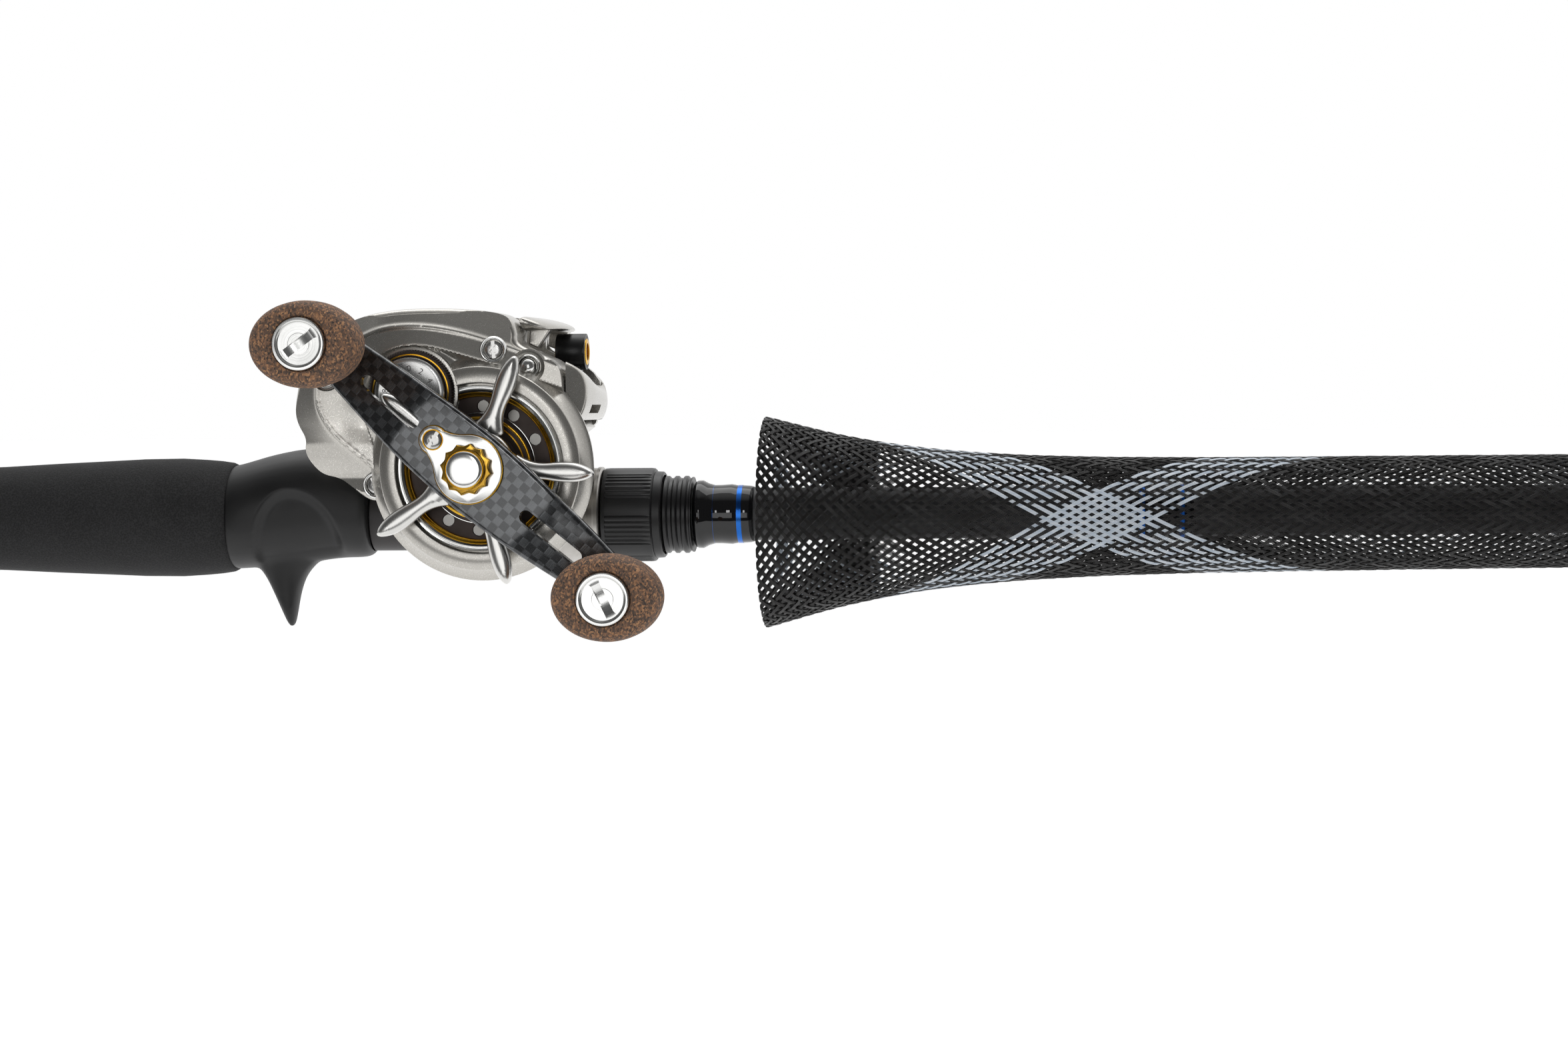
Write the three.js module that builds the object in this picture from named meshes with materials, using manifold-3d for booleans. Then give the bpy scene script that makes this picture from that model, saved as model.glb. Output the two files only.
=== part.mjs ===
// A one-piece casting rod with a low-profile baitcasting reel and a braided rod sleeve.
// Millimetres. +X runs from the trigger to the rod tip, +Z is up (reel side), -Y is the handle side.
// The origin is on the rod axis, at the trigger. "Out" is a distance from the reel's middle plane
// towards the handle side: a point at out = 20 lies at y = -20, and the palm side has negative outs.
import * as THREE from "three";
import { mergeVertices } from "three/addons/utils/BufferGeometryUtils.js";
import Module from "manifold-3d";

const wasm = await Module();
wasm.setup();

// ---------- Driving dimensions ----------

// Clearances
const seatGap = 0.3; // between two pieces that touch
const boreGap = 0.15; // between the blank and what is threaded onto it
const runningGap = 0.25; // between a piece that moves and what it moves in
const cutThrough = 1; // how far a cutting solid runs past the face that it opens

// Rod
const rodLength = 1980;
const tipRadius = 1.1;
const buttRadius = 7.89; // of the blank, from which it tapers evenly to the tip
const blankWall = 1;
const solidTip = 120; // length at the tip with no bore
const rearGripLength = 207;
const gripRadius = 13.3; // at the trigger body
const gripSwell = 15.2; // fullest radius, just behind the trigger body
const gripWaist = 11.2;
const gripButtFlare = 18; // from the grip's butt end to where its end flare has died away
const gripWaistStart = 58; // from the grip's butt end
const gripWaistEnd = 80;
const gripShoulder = 61; // from the trigger body back to where the grip reaches gripRadius
const gripSwellStart = 34; // from the trigger body, as are the next two
const gripSwellPeak = 14;
const gripSwellEnd = 5;
const buttCapLength = 13;
const buttCapRadius = 13.8;
const windingLength = 15.3;
const windingBuild = 1.87; // thread and clear coat over the blank, at the seat
const trimRingBuild = 0.66; // over the blank
const trimRingLength = 1.2;
const trimRingInset = 3; // from the winding's front end

// Reel seat
const seatRadius = 8.8;
const bodyStart = -14.4;
const bodyEnd = 21.2;
const bodyHump = 18; // from the rod axis to the top of the body, under the reel's tail
const bodyNoseTop = 14.6;
const bodyNoseLow = 10.2;
const bodyHalfWidth = 12.4;
const triggerDrop = 28.6; // from the rod axis to the tip of the trigger
const triggerWidth = 9;
const seatEnd = 103.4;
const threadLength = 24.4;
const threadRadius = 9.8;
const hoodLength = 14;
const hoodRadius = 12.2;
const nutStart = 80.9;
const nutLength = 12.9;
const nutRadius = 11.95;
const nutShoulderRadius = 11;
const nutShoulderLength = 2.2;

// Reel body
const spoolX = 38.4;
const spoolFlangeRadius = 17;
const spoolArborRadius = 10.5;
const spoolWidth = 24; // between the flanges
const flangeThickness = 1;
const shaftRadius = 1.9;
const bearingRadius = 5;
const bearingWidth = 2.5;
const footThickness = 2.4;
const footTongue = 1.5; // thickness of the foot's ends, which slide under the hoods
const footTongueLength = 12;
const footStart = 16.5;
const footLength = 62;
const footWidth = 13;
const frameStand = 2.5; // from the foot to the bottom of the spool's flange
const wallThickness = 2.5;
const gearCoverDepth = 17; // from the frame's wall to the face of the raised band
const bandHeight = 2;
const palmCoverDepth = 14;
const coverThickness = 2;
const archRise = 20.1; // from the spool axis to the top of the arch
const tailReach = 28.4; // from the spool axis back to the end of the tail
const noseReach = 42.8; // from the spool axis forward to the nose
const noseStart = 37.5; // from the spool axis forward to the seam behind the nose
const noseTop = 6.4; // over the spool axis
const noseLip = 2.4; // over the spool axis, where the line passes
const noseBottom = 7.2; // below the spool axis
const thumbRestWidth = 42;
const thumbRestReach = 34.2; // from the spool axis forward to its edge
const thumbBarTravel = 4.5;
const thumbBarThickness = 4;
const tensionKnobRadius = 10.6; // of its knurled rim
const tensionFaceRadius = 8.6;
const tensionRimHeight = 2.4;
const tensionKnobHeight = 4;
const knobBossRadius = 11.4; // the round seat that the tension knob turns on
const knobBossHeight = 2.2;
const brakeDialRadius = 9.5;
const brakeDialHeight = 3.2;
const screwRadius = 2.5;
const pinRadius = 3;

// Drive
const gearModule = 0.682;
const driveTeeth = 64;
const pinionTeeth = 9;
const pinionHubRadius = 2.7;
const driveDirection = -48.2; // from the spool axis to the drive axis, in degrees
const gearWidth = 3.4;
const driveShaftRadius = 2.6;
const dragRadius = 14;
const dragThickness = 6;
const bossRadius = 25;
const bossWall = 4.6;
const bossHeight = 4.5; // how far the boss stands above the cover's face
const bossWellDepth = 5;
const bossFlank = 2.3; // how far its sloping side spreads over the cover's face
const leafHeight = 0.7; // of the leaf that stands up on the tail
const coverHoles = 12;
const coverHoleRadius = 1.55;
const coverHoleCircle = 15.2;
const trimWidth = 1;
const plateThickness = 1.6;
const starRadius = 29.2;
const starArms = 5;
const starTurn = 69.9; // direction of the first arm, in degrees
const starThickness = 2.6;
const starStandoff = 3.9; // from the boss's rim to the star's arms
const starHubRadius = 9.3;
const starRootWidth = 8.8; // of an arm where it leaves the hub
const paddleNeck = 4.1;
const paddleWidth = 4.9;

// Handle
const handleSpan = 93.4; // between the two knob axes
const handleDirection = 139.8; // direction of the rear knob from the drive axis, in degrees
const armThickness = 3;
const armStandoff = 3; // from the star's arms to the handle arm
const armMiddleWidth = 19.6;
const armEndWidth = 10.9;
const armSlotWidth = 3.2;
const armSlotStart = 16.3;
const armSlotEnd = 34.6;
const armSweep = 3.2; // how far the arm's ends lie behind its middle
const knobLength = 25;
const knobWidth = 26.4;
const knobHeight = 20.8;
const knobCapRadius = 6.3;
const knobCapHeight = 1.8;
const knobPostRadius = 2;
const handleNutRadius = 6.35;
const handleNutHeight = 5;
const retainerRadius = 8.5;
const retainerLobeRadius = 3.6;
const retainerReach = 11.1;
const retainerShoulder = 48; // half the angle over which its round side opens into the lobe
const retainerThickness = 1;

// Level wind
const wormRadius = 2.4;
const wormTeeth = 12;
const wormDirection = 47.2; // from the drive axis to the worm, in degrees
const clutchTravel = 1.8; // how far the yoke draws the pinion out
const guideBarrelRadius = 4.6;
const guideBarrelLength = 7.4;
const guideRise = 9.7; // from the worm to the middle of the barrel
const railRise = 3.6; // from the worm to the rail that keeps the guide upright
const railRadius = 0.9;

// Line guides: the gaps between them grow from the tip to the reel, and their rings with them
const guideCount = 8;
const tipGuideGap = 100; // from the rod tip to its nearest guide
const guideGapGrowth = 1.107;
const smallGuideRadius = 2.4; // of the ring nearest the tip
const largeGuideRadius = 3.4; // of the ring nearest the reel
const guideRingLift = 0.3; // from the blank to the bottom of a ring
const doubleFooted = 2; // how many guides nearest the reel have two feet
const guideRingLength = 1.6;
const guideLegWidth = 1.5;
const guideFootLength = 7;
const guideWrap = 0.7; // thickness of the thread winding over a foot
const tipTubeLength = 9;
const tipRingRadius = 2.6;
const tipRingRise = 3.6; // from the top of the rod tip to the middle of the ring

// Sleeve
const sleeveWall = 0.5;
const sleeveMouthX = 121.5;
const sleeveOverhang = 24; // past the rod tip
const sleeveMouthRadius = 26.8;
const sleeveRadius = 14.2; // where it lies along the rod
const sleeveTipRadius = 9.5;
const sleeveFlare = 70; // length of the flare behind the mouth
const sleeveSag = 2.1; // how far the mouth hangs below the rod axis
const sleeveTipRise = 0.6; // how far its end lies above the rod axis
const sleeveClose = 34; // length over which its end draws shut
const sleeveRings = 20; // rings of the open tube, closer together towards the mouth

// ---------- Derived places ----------

const buttX = bodyStart - 2 * seatGap - rearGripLength - buttCapLength;
const tipX = buttX + rodLength;
const blankRadiusAt = (x) => tipRadius + ((tipX - x) * (buttRadius - tipRadius)) / rodLength;
const windingStart = seatEnd + seatGap;
const windingEnd = windingStart + windingLength;
const windingRadius = blankRadiusAt(windingStart) + windingBuild;
const trimRingStart = windingEnd - trimRingInset - trimRingLength;
const trimRingRadius = blankRadiusAt(trimRingStart) + trimRingBuild;
const footLow = seatRadius + seatGap;
const footTop = footLow + footThickness;
const spoolZ = footTop + frameStand + spoolFlangeRadius + 0.3;
const gearDistance = (gearModule * (driveTeeth + pinionTeeth)) / 2;
const driveX = spoolX + gearDistance * cosDeg(driveDirection);
const driveZ = spoolZ + gearDistance * sinDeg(driveDirection);
const halfInside = spoolWidth / 2 + flangeThickness + 1; // reel's middle to the inside of a wall
const wallOut = halfInside + wallThickness;
const coverIn = wallOut + seatGap;
const gearFace = wallOut + gearCoverDepth; // face of the raised band
const plateFace = gearFace - bandHeight; // face of the cover round it
const palmFace = wallOut + palmCoverDepth;
const bossFace = plateFace + bossHeight;
const gearIn = coverIn + 1.2;
const gearOut = gearIn + gearWidth;
const dragOut = gearOut + runningGap + dragThickness;
const pocketFloor = bossFace - bossWellDepth; // bottom of the well in the boss
const knobBossFace = plateFace + knobBossHeight;
const starIn = bossFace + starStandoff;
const starOut = starIn + starThickness;
const armIn = starOut + armStandoff;
const armOut = armIn + armThickness;
const knobIn = armOut - armSweep + 1;
const knobOut = knobIn + knobLength;
const wormDistance = (gearModule * (driveTeeth + wormTeeth)) / 2;
const wormX = driveX + wormDistance * cosDeg(wormDirection);
const wormZ = driveZ + wormDistance * sinDeg(wormDirection);
const pinionIn = gearIn - 0.6;
const pinionHubStart = gearOut + 2.4;

function cosDeg(degrees) {
  return Math.cos(THREE.MathUtils.degToRad(degrees));
}

function sinDeg(degrees) {
  return Math.sin(THREE.MathUtils.degToRad(degrees));
}

// ---------- Solids ----------

// A closed geometry as a solid for joining and cutting, turned so that its faces point out.
function solidOf(shape) {
  if (!shape.isBufferGeometry) return shape;
  const bare = new THREE.BufferGeometry().setAttribute("position", shape.getAttribute("position"));
  bare.setIndex(shape.index);
  const merged = mergeVertices(bare, 1e-3);
  const corners = new Uint32Array(merged.index.array);
  const build = () =>
    new wasm.Manifold(
      new wasm.Mesh({ numProp: 3, vertProperties: merged.attributes.position.array, triVerts: corners }),
    );
  const made = build();
  if (made.volume() > 0) return made;
  corners.reverse();
  return build();
}

function join(...shapes) {
  return shapes.map(solidOf).reduce((whole, next) => whole.add(next));
}

function cut(base, ...tools) {
  return tools.map(solidOf).reduce((left, tool) => left.subtract(tool), solidOf(base));
}

function common(base, tool) {
  return solidOf(base).intersect(solidOf(tool));
}

function geometryOf(solid) {
  const mesh = solid.getMesh();
  return new THREE.BufferGeometry()
    .setAttribute("position", new THREE.BufferAttribute(new Float32Array(mesh.vertProperties), 3))
    .setIndex(new THREE.BufferAttribute(new Uint32Array(mesh.triVerts), 1));
}

// Profiles are lists of [radius, place along the axis].
function revolve(profile, sides = 20) {
  return new THREE.LatheGeometry(
    profile.map(([radius, along]) => new THREE.Vector2(radius, along)),
    sides,
  );
}

function revolveAlongX(profile, sides) {
  return revolve(profile, sides).rotateZ(-Math.PI / 2);
}

// A revolve about the cross axis through (x, z): places along it are outs.
function revolveOut(profile, x, z, sides) {
  return revolve(profile, sides).rotateX(Math.PI).translate(x, 0, z);
}

function disc(radius, from, to, x, z, sides) {
  const profile = [
    [0, from],
    [radius, from],
    [radius, to],
    [0, to],
  ];
  return revolveOut(profile, x, z, sides);
}

function ring(inner, outer, from, to, x, z, sides) {
  const profile = [
    [inner, from],
    [outer, from],
    [outer, to],
    [inner, to],
    [inner, from],
  ];
  return revolveOut(profile, x, z, sides);
}

function tubeAlongX(inner, outer, from, to, sides) {
  const profile = [
    [inner, from],
    [outer, from],
    [outer, to],
    [inner, to],
    [inner, from],
  ];
  return revolveAlongX(profile, sides);
}

// A side-view shape (x, z) given thickness between two outs.
function plate(shape, from, to, bevel = 0, curveSegments = 8, bevelSegments = 1) {
  const options = {
    depth: to - from - 2 * bevel,
    bevelEnabled: bevel > 0,
    bevelThickness: bevel,
    bevelSize: bevel,
    bevelOffset: -bevel,
    bevelSegments,
    curveSegments,
  };
  return new THREE.ExtrudeGeometry(shape, options)
    .translate(0, 0, from + bevel)
    .rotateX(Math.PI / 2);
}

// A plan-view shape (x, out) given thickness between two heights.
function slab(shape, low, high, curveSegments = 8) {
  return new THREE.ExtrudeGeometry(shape, { depth: high - low, bevelEnabled: false, curveSegments })
    .translate(0, 0, low)
    .scale(1, -1, 1);
}

// A section across the rod (y, z) drawn out along X.
function bar(shape, from, to, curveSegments = 8) {
  const turn = new THREE.Matrix4().makeBasis(
    new THREE.Vector3(0, 1, 0),
    new THREE.Vector3(0, 0, 1),
    new THREE.Vector3(1, 0, 0),
  );
  return new THREE.ExtrudeGeometry(shape, { depth: to - from, bevelEnabled: false, curveSegments })
    .applyMatrix4(turn)
    .translate(from, 0, 0);
}

// A skin over rings of equal counts, closed by a fan at each end.
function loft(rings) {
  const sides = rings[0].length;
  const centre = (points) =>
    points.reduce((sum, point) => sum.add(point), new THREE.Vector3()).divideScalar(points.length);
  const points = [...rings.flat(), centre(rings[0]), centre(rings[rings.length - 1])];
  const faces = [];
  for (let row = 0; row < rings.length - 1; row++) {
    for (let side = 0; side < sides; side++) {
      const a = row * sides + side;
      const b = row * sides + ((side + 1) % sides);
      faces.push(a, b, b + sides, a, b + sides, a + sides);
    }
  }
  const last = (rings.length - 1) * sides;
  for (let side = 0; side < sides; side++) {
    const next = (side + 1) % sides;
    faces.push(points.length - 2, next, side, points.length - 1, last + side, last + next);
  }
  return new THREE.BufferGeometry().setFromPoints(points).setIndex(faces);
}

// A moulded cover: its outline drawn in towards the spool axis by an inset at each out.
function mouldedCover(outline, levels) {
  const axis = new THREE.Vector2(spoolX, spoolZ);
  const points = outline.getPoints();
  return loft(
    levels.map(([out, inset]) =>
      points.map((point) => {
        const arm = point.clone().sub(axis);
        const { x, y } = arm.setLength(arm.length() - inset).add(axis);
        return new THREE.Vector3(x, -out, y);
      }),
    ),
  );
}

// An oval ring; power 2 is an ellipse, and a higher power is squarer.
function oval(place, halfWidth, halfHeight, sides, power = 2) {
  const swell = (value) => Math.sign(value) * Math.abs(value) ** (2 / power);
  return Array.from({ length: sides }, (_, side) => {
    const turn = (side / sides) * 2 * Math.PI;
    return place(halfWidth * swell(Math.cos(turn)), halfHeight * swell(Math.sin(turn)));
  });
}

// Outlines run counter-clockwise, because the holes in them run clockwise.
function outlineOf(points) {
  return new THREE.Shape(THREE.ShapeUtils.isClockWise(points) ? points.reverse() : points);
}

function shapeThrough(points) {
  return outlineOf(points.map(([x, y]) => new THREE.Vector2(x, y)));
}

// A shape whose edge runs smoothly through a closed list of points.
function smoothShape(points, steps = 3) {
  const curve = new THREE.CatmullRomCurve3(
    points.map(([x, y]) => new THREE.Vector3(x, y, 0)),
    true,
    "centripetal",
  );
  return outlineOf(
    curve
      .getPoints(points.length * steps)
      .slice(0, -1)
      .map((point) => new THREE.Vector2(point.x, point.y)),
  );
}

function circle(x, y, radius) {
  return new THREE.Path().absarc(x, y, radius, 0, 2 * Math.PI, true);
}

// A band between two radii round the top of the rod, in the (y, z) plane.
function saddle(inner, outer, halfAngle) {
  const from = THREE.MathUtils.degToRad(90 - halfAngle);
  const to = THREE.MathUtils.degToRad(90 + halfAngle);
  return new THREE.Shape().absarc(0, 0, outer, from, to, false).absarc(0, 0, inner, to, from, true);
}

// Places on the reel are given from the spool axis: [forward, up].
const fromSpool = (points) => points.map(([ahead, up]) => [spoolX + ahead, spoolZ + up]);

// ---------- Rod ----------

function makeBlank() {
  const from = buttX + 3;
  const to = tipX - 2;
  const boreEnd = to - solidTip;
  return revolveAlongX([
    [blankRadiusAt(from) - blankWall, from],
    [blankRadiusAt(from), from],
    [blankRadiusAt(to), to],
    [0, to],
    [0, boreEnd + 1],
    [blankRadiusAt(boreEnd) - blankWall, boreEnd],
    [blankRadiusAt(from) - blankWall, from],
  ]);
}

function boreAlong(from, to) {
  return revolveAlongX([
    [0, from],
    [blankRadiusAt(from) + boreGap, from],
    [blankRadiusAt(to) + boreGap, to],
    [0, to],
  ]);
}

function makeRearGrip() {
  const end = bodyStart - seatGap;
  const start = end - rearGripLength;
  const profile = [
    [0, start],
    [buttCapRadius - 0.8, start],
    [buttCapRadius - 0.2, start + 2],
    [buttCapRadius - 1.4, start + gripButtFlare],
    [gripWaist, start + gripWaistStart],
    [gripWaist, start + gripWaistEnd],
    [gripRadius, end - gripShoulder],
    [gripSwell - 0.7, end - gripSwellStart],
    [gripSwell, end - gripSwellPeak],
    [gripSwell - 0.6, end - gripSwellEnd],
    [gripRadius + 0.5, end - 0.8],
    [gripRadius, end],
    [0, end],
  ];
  return cut(revolveAlongX(profile), boreAlong(start - cutThrough, end + cutThrough));
}

function makeButtCap() {
  const end = buttX + buttCapLength;
  const profile = [
    [0, buttX],
    [buttCapRadius - 2, buttX],
    [buttCapRadius - 0.5, buttX + 0.8],
    [buttCapRadius, buttX + 2.4],
    [buttCapRadius, end - 1],
    [buttCapRadius - 0.8, end],
    [0, end],
  ];
  return cut(revolveAlongX(profile), boreAlong(buttX + 3 - seatGap, end + cutThrough));
}

function makeFrontWinding() {
  const groove = trimRingRadius - 0.35;
  const profile = [
    [0, windingStart],
    [windingRadius - 0.4, windingStart],
    [windingRadius, windingStart + 1],
    [windingRadius - 1.2, windingStart + 0.33 * windingLength],
    [windingRadius - 0.96, windingStart + 0.65 * windingLength],
    [trimRingRadius, trimRingStart - 0.4],
    [groove, trimRingStart - 0.2],
    [groove, trimRingStart + trimRingLength + 0.2],
    [trimRingRadius, trimRingStart + trimRingLength + 0.4],
    [blankRadiusAt(windingEnd) + 0.35, windingEnd],
    [0, windingEnd],
  ];
  return cut(revolveAlongX(profile), boreAlong(windingStart - cutThrough, windingEnd + cutThrough));
}

function makeTrimRing() {
  const inner = trimRingRadius - 0.25;
  return tubeAlongX(inner, trimRingRadius, trimRingStart, trimRingStart + trimRingLength, 20);
}

// ---------- Reel seat ----------

// [place along X, top, bottom, half width]
function bodySections() {
  const length = bodyEnd - bodyStart;
  return [
    [bodyStart, gripRadius, gripRadius, gripRadius],
    [bodyStart + 0.15 * length, gripRadius + 1.6, gripRadius + 0.2, bodyHalfWidth + 0.7],
    [bodyStart + 0.36 * length, bodyHump - 1.1, gripRadius - 0.5, bodyHalfWidth + 0.4],
    [bodyStart + 0.52 * length, bodyHump, gripRadius - 1.2, bodyHalfWidth + 0.2],
    [bodyStart + 0.68 * length, bodyHump - 1.2, bodyNoseLow + 0.8, bodyHalfWidth],
    [bodyStart + 0.84 * length, bodyNoseTop + 0.6, bodyNoseLow + 0.2, bodyHalfWidth],
    [bodyEnd - 1.4, bodyNoseTop, bodyNoseLow, bodyHalfWidth - 0.2],
    [bodyEnd, bodyNoseTop - 0.9, bodyNoseLow - 0.9, bodyHalfWidth - 1],
  ];
}

function makeTriggerBody() {
  const shell = loft(
    bodySections().map(([x, top, bottom, half]) =>
      oval(
        (across, up) => new THREE.Vector3(x, across, (top - bottom) / 2 + up),
        half,
        (top + bottom) / 2,
        20,
        2.15,
      ),
    ),
  );
  const rootZ = 9;
  const drop = triggerDrop - rootZ;
  const blade = loft(
    [
      [0, -11, 9.5, triggerWidth + 5],
      [0.2, -9.4, 6.6, triggerWidth + 2],
      [0.38, -6.9, 3.1, triggerWidth],
      [0.62, -4.3, 1.7, triggerWidth - 1.2],
      [0.88, -2.2, 0.9, triggerWidth - 3],
      [1, -1.2, 0.4, triggerWidth - 5],
    ].map(([share, rear, front, width]) =>
      oval(
        (along, across) =>
          new THREE.Vector3((rear + front) / 2 + along, across, -rootZ - share * drop),
        (front - rear) / 2,
        width / 2,
        12,
        2.3,
      ),
    ),
  );
  const bore = boreAlong(bodyStart - cutThrough, bodyEnd + cutThrough);
  const pocket = bar(
    saddle(footLow - seatGap, footLow + footTongue + seatGap, footHalfAngle() + 3),
    footStart - seatGap,
    bodyEnd + cutThrough,
  );
  return cut(join(shell, blade), bore, pocket);
}

function footHalfAngle() {
  const middle = footLow + footThickness / 2;
  return THREE.MathUtils.radToDeg(Math.asin(footWidth / 2 / middle));
}

function makeSeatTube() {
  const start = bodyEnd + seatGap;
  const threadStart = seatEnd - threadLength;
  const profile = [
    [0, start],
    [seatRadius, start],
    [seatRadius, threadStart],
    [threadRadius, threadStart + 0.6],
    [threadRadius, seatEnd - 0.4],
    [threadRadius - 0.4, seatEnd],
    [0, seatEnd],
  ];
  return cut(revolveAlongX(profile, 24), boreAlong(start - cutThrough, seatEnd + cutThrough));
}

function makeSeatHood() {
  const end = nutStart - seatGap;
  const start = end - hoodLength;
  const inner = threadRadius + runningGap;
  const profile = [
    [inner, start],
    [hoodRadius - 0.7, start],
    [hoodRadius, start + 1.6],
    [hoodRadius, end - 0.6],
    [hoodRadius - 0.4, end],
    [inner, end],
    [inner, start],
  ];
  const pocket = bar(
    saddle(inner - 0.5, footLow + footTongue + seatGap, footHalfAngle() + 3),
    start - cutThrough,
    footStart + footLength + seatGap,
  );
  return cut(revolveAlongX(profile, 24), pocket);
}

function makeLockingNut() {
  const inner = threadRadius + runningGap;
  const shoulder = nutStart + nutLength;
  const profile = [
    [inner, nutStart],
    [nutRadius - 0.3, nutStart],
    [nutRadius, nutStart + 0.5],
    [nutRadius, shoulder - 0.5],
    [nutRadius - 0.4, shoulder],
    [nutShoulderRadius, shoulder + 0.2],
    [nutShoulderRadius - 0.4, shoulder + nutShoulderLength],
    [inner, shoulder + nutShoulderLength],
    [inner, nutStart],
  ];
  return revolveAlongX(profile, 24);
}

// ---------- Line guides and sleeve ----------

// Thread wound over a guide's foot. Its flats stay clear of the rounder blank inside.
function wrapAt(from, to, radius) {
  const sides = 10;
  const inner = (radius + boreGap) / Math.cos(Math.PI / sides);
  return tubeAlongX(inner, inner + guideWrap, from, to, sides);
}

// The guides count from 1, the one nearest the reel.
function makeGuide(number) {
  const gapsToTip = guideCount - number + 1;
  const behindTip = (tipGuideGap * (guideGapGrowth ** gapsToTip - 1)) / (guideGapGrowth - 1);
  const size = ((guideCount - number) / (guideCount - 1)) ** 2;
  const ringRadius = smallGuideRadius + (largeGuideRadius - smallGuideRadius) * size;
  const x = tipX - behindTip;
  const blankTop = blankRadiusAt(x);
  const ringZ = blankTop + guideRingLift + ringRadius;
  const half = guideRingLength / 2;
  const loop = tubeAlongX(ringRadius - 0.8, ringRadius, -half, half, 12).translate(x, 0, ringZ);
  const sides = number <= doubleFooted ? [-1, 1] : [-1];
  const parts = sides.flatMap((side) => {
    const toe = side * (half + guideFootLength + 2);
    const leg = shapeThrough([
      [x + side * (half - 0.4), ringZ - ringRadius + 0.4],
      [x + side * (half - 0.4), ringZ - 0.2],
      [x + side * (half + 3.2), blankTop + 0.9],
      [x + toe, blankTop + 0.7],
      [x + toe, blankTop + boreGap],
      [x + side * (half + 2), blankTop + boreGap],
    ]);
    const wrapEnds = [x + toe + side * 0.8, x + side * (half + 2.6)].sort((a, b) => a - b);
    const radius = blankRadiusAt(wrapEnds[0]);
    return [plate(leg, -guideLegWidth / 2, guideLegWidth / 2), wrapAt(...wrapEnds, radius)];
  });
  return join(loop, ...parts);
}

function makeTipTop() {
  const tube = revolveAlongX(
    [
      [0, tipX - tipTubeLength],
      [tipRadius + 0.75, tipX - tipTubeLength],
      [tipRadius + 0.6, tipX],
      [0, tipX],
    ],
    12,
  );
  const bore = revolveAlongX(
    [
      [0, tipX - tipTubeLength - cutThrough],
      [blankRadiusAt(tipX - tipTubeLength) + boreGap, tipX - tipTubeLength - cutThrough],
      [blankRadiusAt(tipX - 2) + boreGap, tipX - 2 + boreGap],
      [0, tipX - 2 + boreGap],
    ],
    12,
  );
  const ringRadius = tipRingRadius;
  const ringZ = tipRadius + tipRingRise;
  const loop = tubeAlongX(ringRadius - 0.8, ringRadius, -0.8, 0.8, 14).translate(tipX - 0.6, 0, ringZ);
  const leg = shapeThrough([
    [tipX - 1, ringZ - ringRadius + 0.4],
    [tipX - 1, ringZ],
    [tipX - 6, tipRadius + 0.5],
    [tipX - 6, 0.4],
    [tipX - 1, 0.4],
  ]);
  return join(cut(join(tube, plate(leg, -0.6, 0.6)), bore), loop);
}

// Radius and centre height of the sleeve at a place along the rod: a flare that dies away
// from the mouth, then a slow taper to the end.
function sleeveAt(x) {
  const past = (x - sleeveMouthX) / sleeveFlare;
  const flare = (sleeveMouthRadius - sleeveRadius) * Math.exp(-((past * 2) ** 1.15));
  const share = Math.max(0, (x - sleeveMouthX - 2 * sleeveFlare) / (tipX - sleeveMouthX));
  const radius = sleeveRadius - (sleeveRadius - sleeveTipRadius) * share + flare;
  const sag = sleeveSag * Math.exp(-(x - sleeveMouthX) / (2 * sleeveFlare));
  return { radius, centre: sleeveTipRise * share - sag };
}

function makeSleeve() {
  const end = tipX + sleeveOverhang;
  const openLength = end - sleeveClose - sleeveMouthX;
  const open = Array.from({ length: sleeveRings }, (_, i) => (i / (sleeveRings - 1)) ** 2.2);
  const places = open.map((along) => sleeveMouthX + along * openLength);
  places.push(end - 0.4 * sleeveClose, end - 0.12 * sleeveClose);
  const ringOf = (x, wall) => {
    const { radius, centre } = sleeveAt(x);
    const fade = Math.min(1, ((end - x) / sleeveClose) ** 0.5);
    const size = radius * fade - wall;
    return oval((across, up) => new THREE.Vector3(x, across, centre + up), size, size, 20);
  };
  const inner = places.slice(0, -1).map((x) => ringOf(x, sleeveWall));
  const outer = places.map((x) => ringOf(x, 0));
  const endPoint = (across, up) => new THREE.Vector3(end, across, sleeveTipRise + up);
  const endRing = oval(endPoint, 2 * sleeveWall, 2 * sleeveWall, 20);
  return loft([...inner.reverse(), ...outer, endRing]);
}

// ---------- Reel frame and covers ----------

// The humped side view that both sides of the frame share: tail, arch, deck and belly.
function archPoints() {
  return [
    [-tailReach + 3.4, -9],
    [-tailReach + 1.6, -1],
    [-tailReach + 3.2, 7.2],
    [-tailReach + 8.6, 14.2],
    [-tailReach + 16.4, 18.8],
    [-tailReach + 25.4, archRise - 0.4],
    [3, archRise],
    [11, archRise - 0.2],
    [19, archRise - 1],
    [23.4, archRise - 2.2],
    [25.2, archRise - 5],
    [25, 11.2],
    [30, 9.2],
    [35.2, 6.8],
  ];
}

function frameWallShape(belly) {
  const front = [
    [noseStart + 1.4, 2.8],
    [noseStart + 1.6, -2.4],
    [noseStart + 0.3, -8],
    [31, -13.6],
  ];
  const rear = [
    [-10, -17.6],
    [-19.6, -15],
  ];
  return smoothShape(fromSpool([...archPoints(), ...front, ...belly, ...rear]), 2);
}

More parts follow.
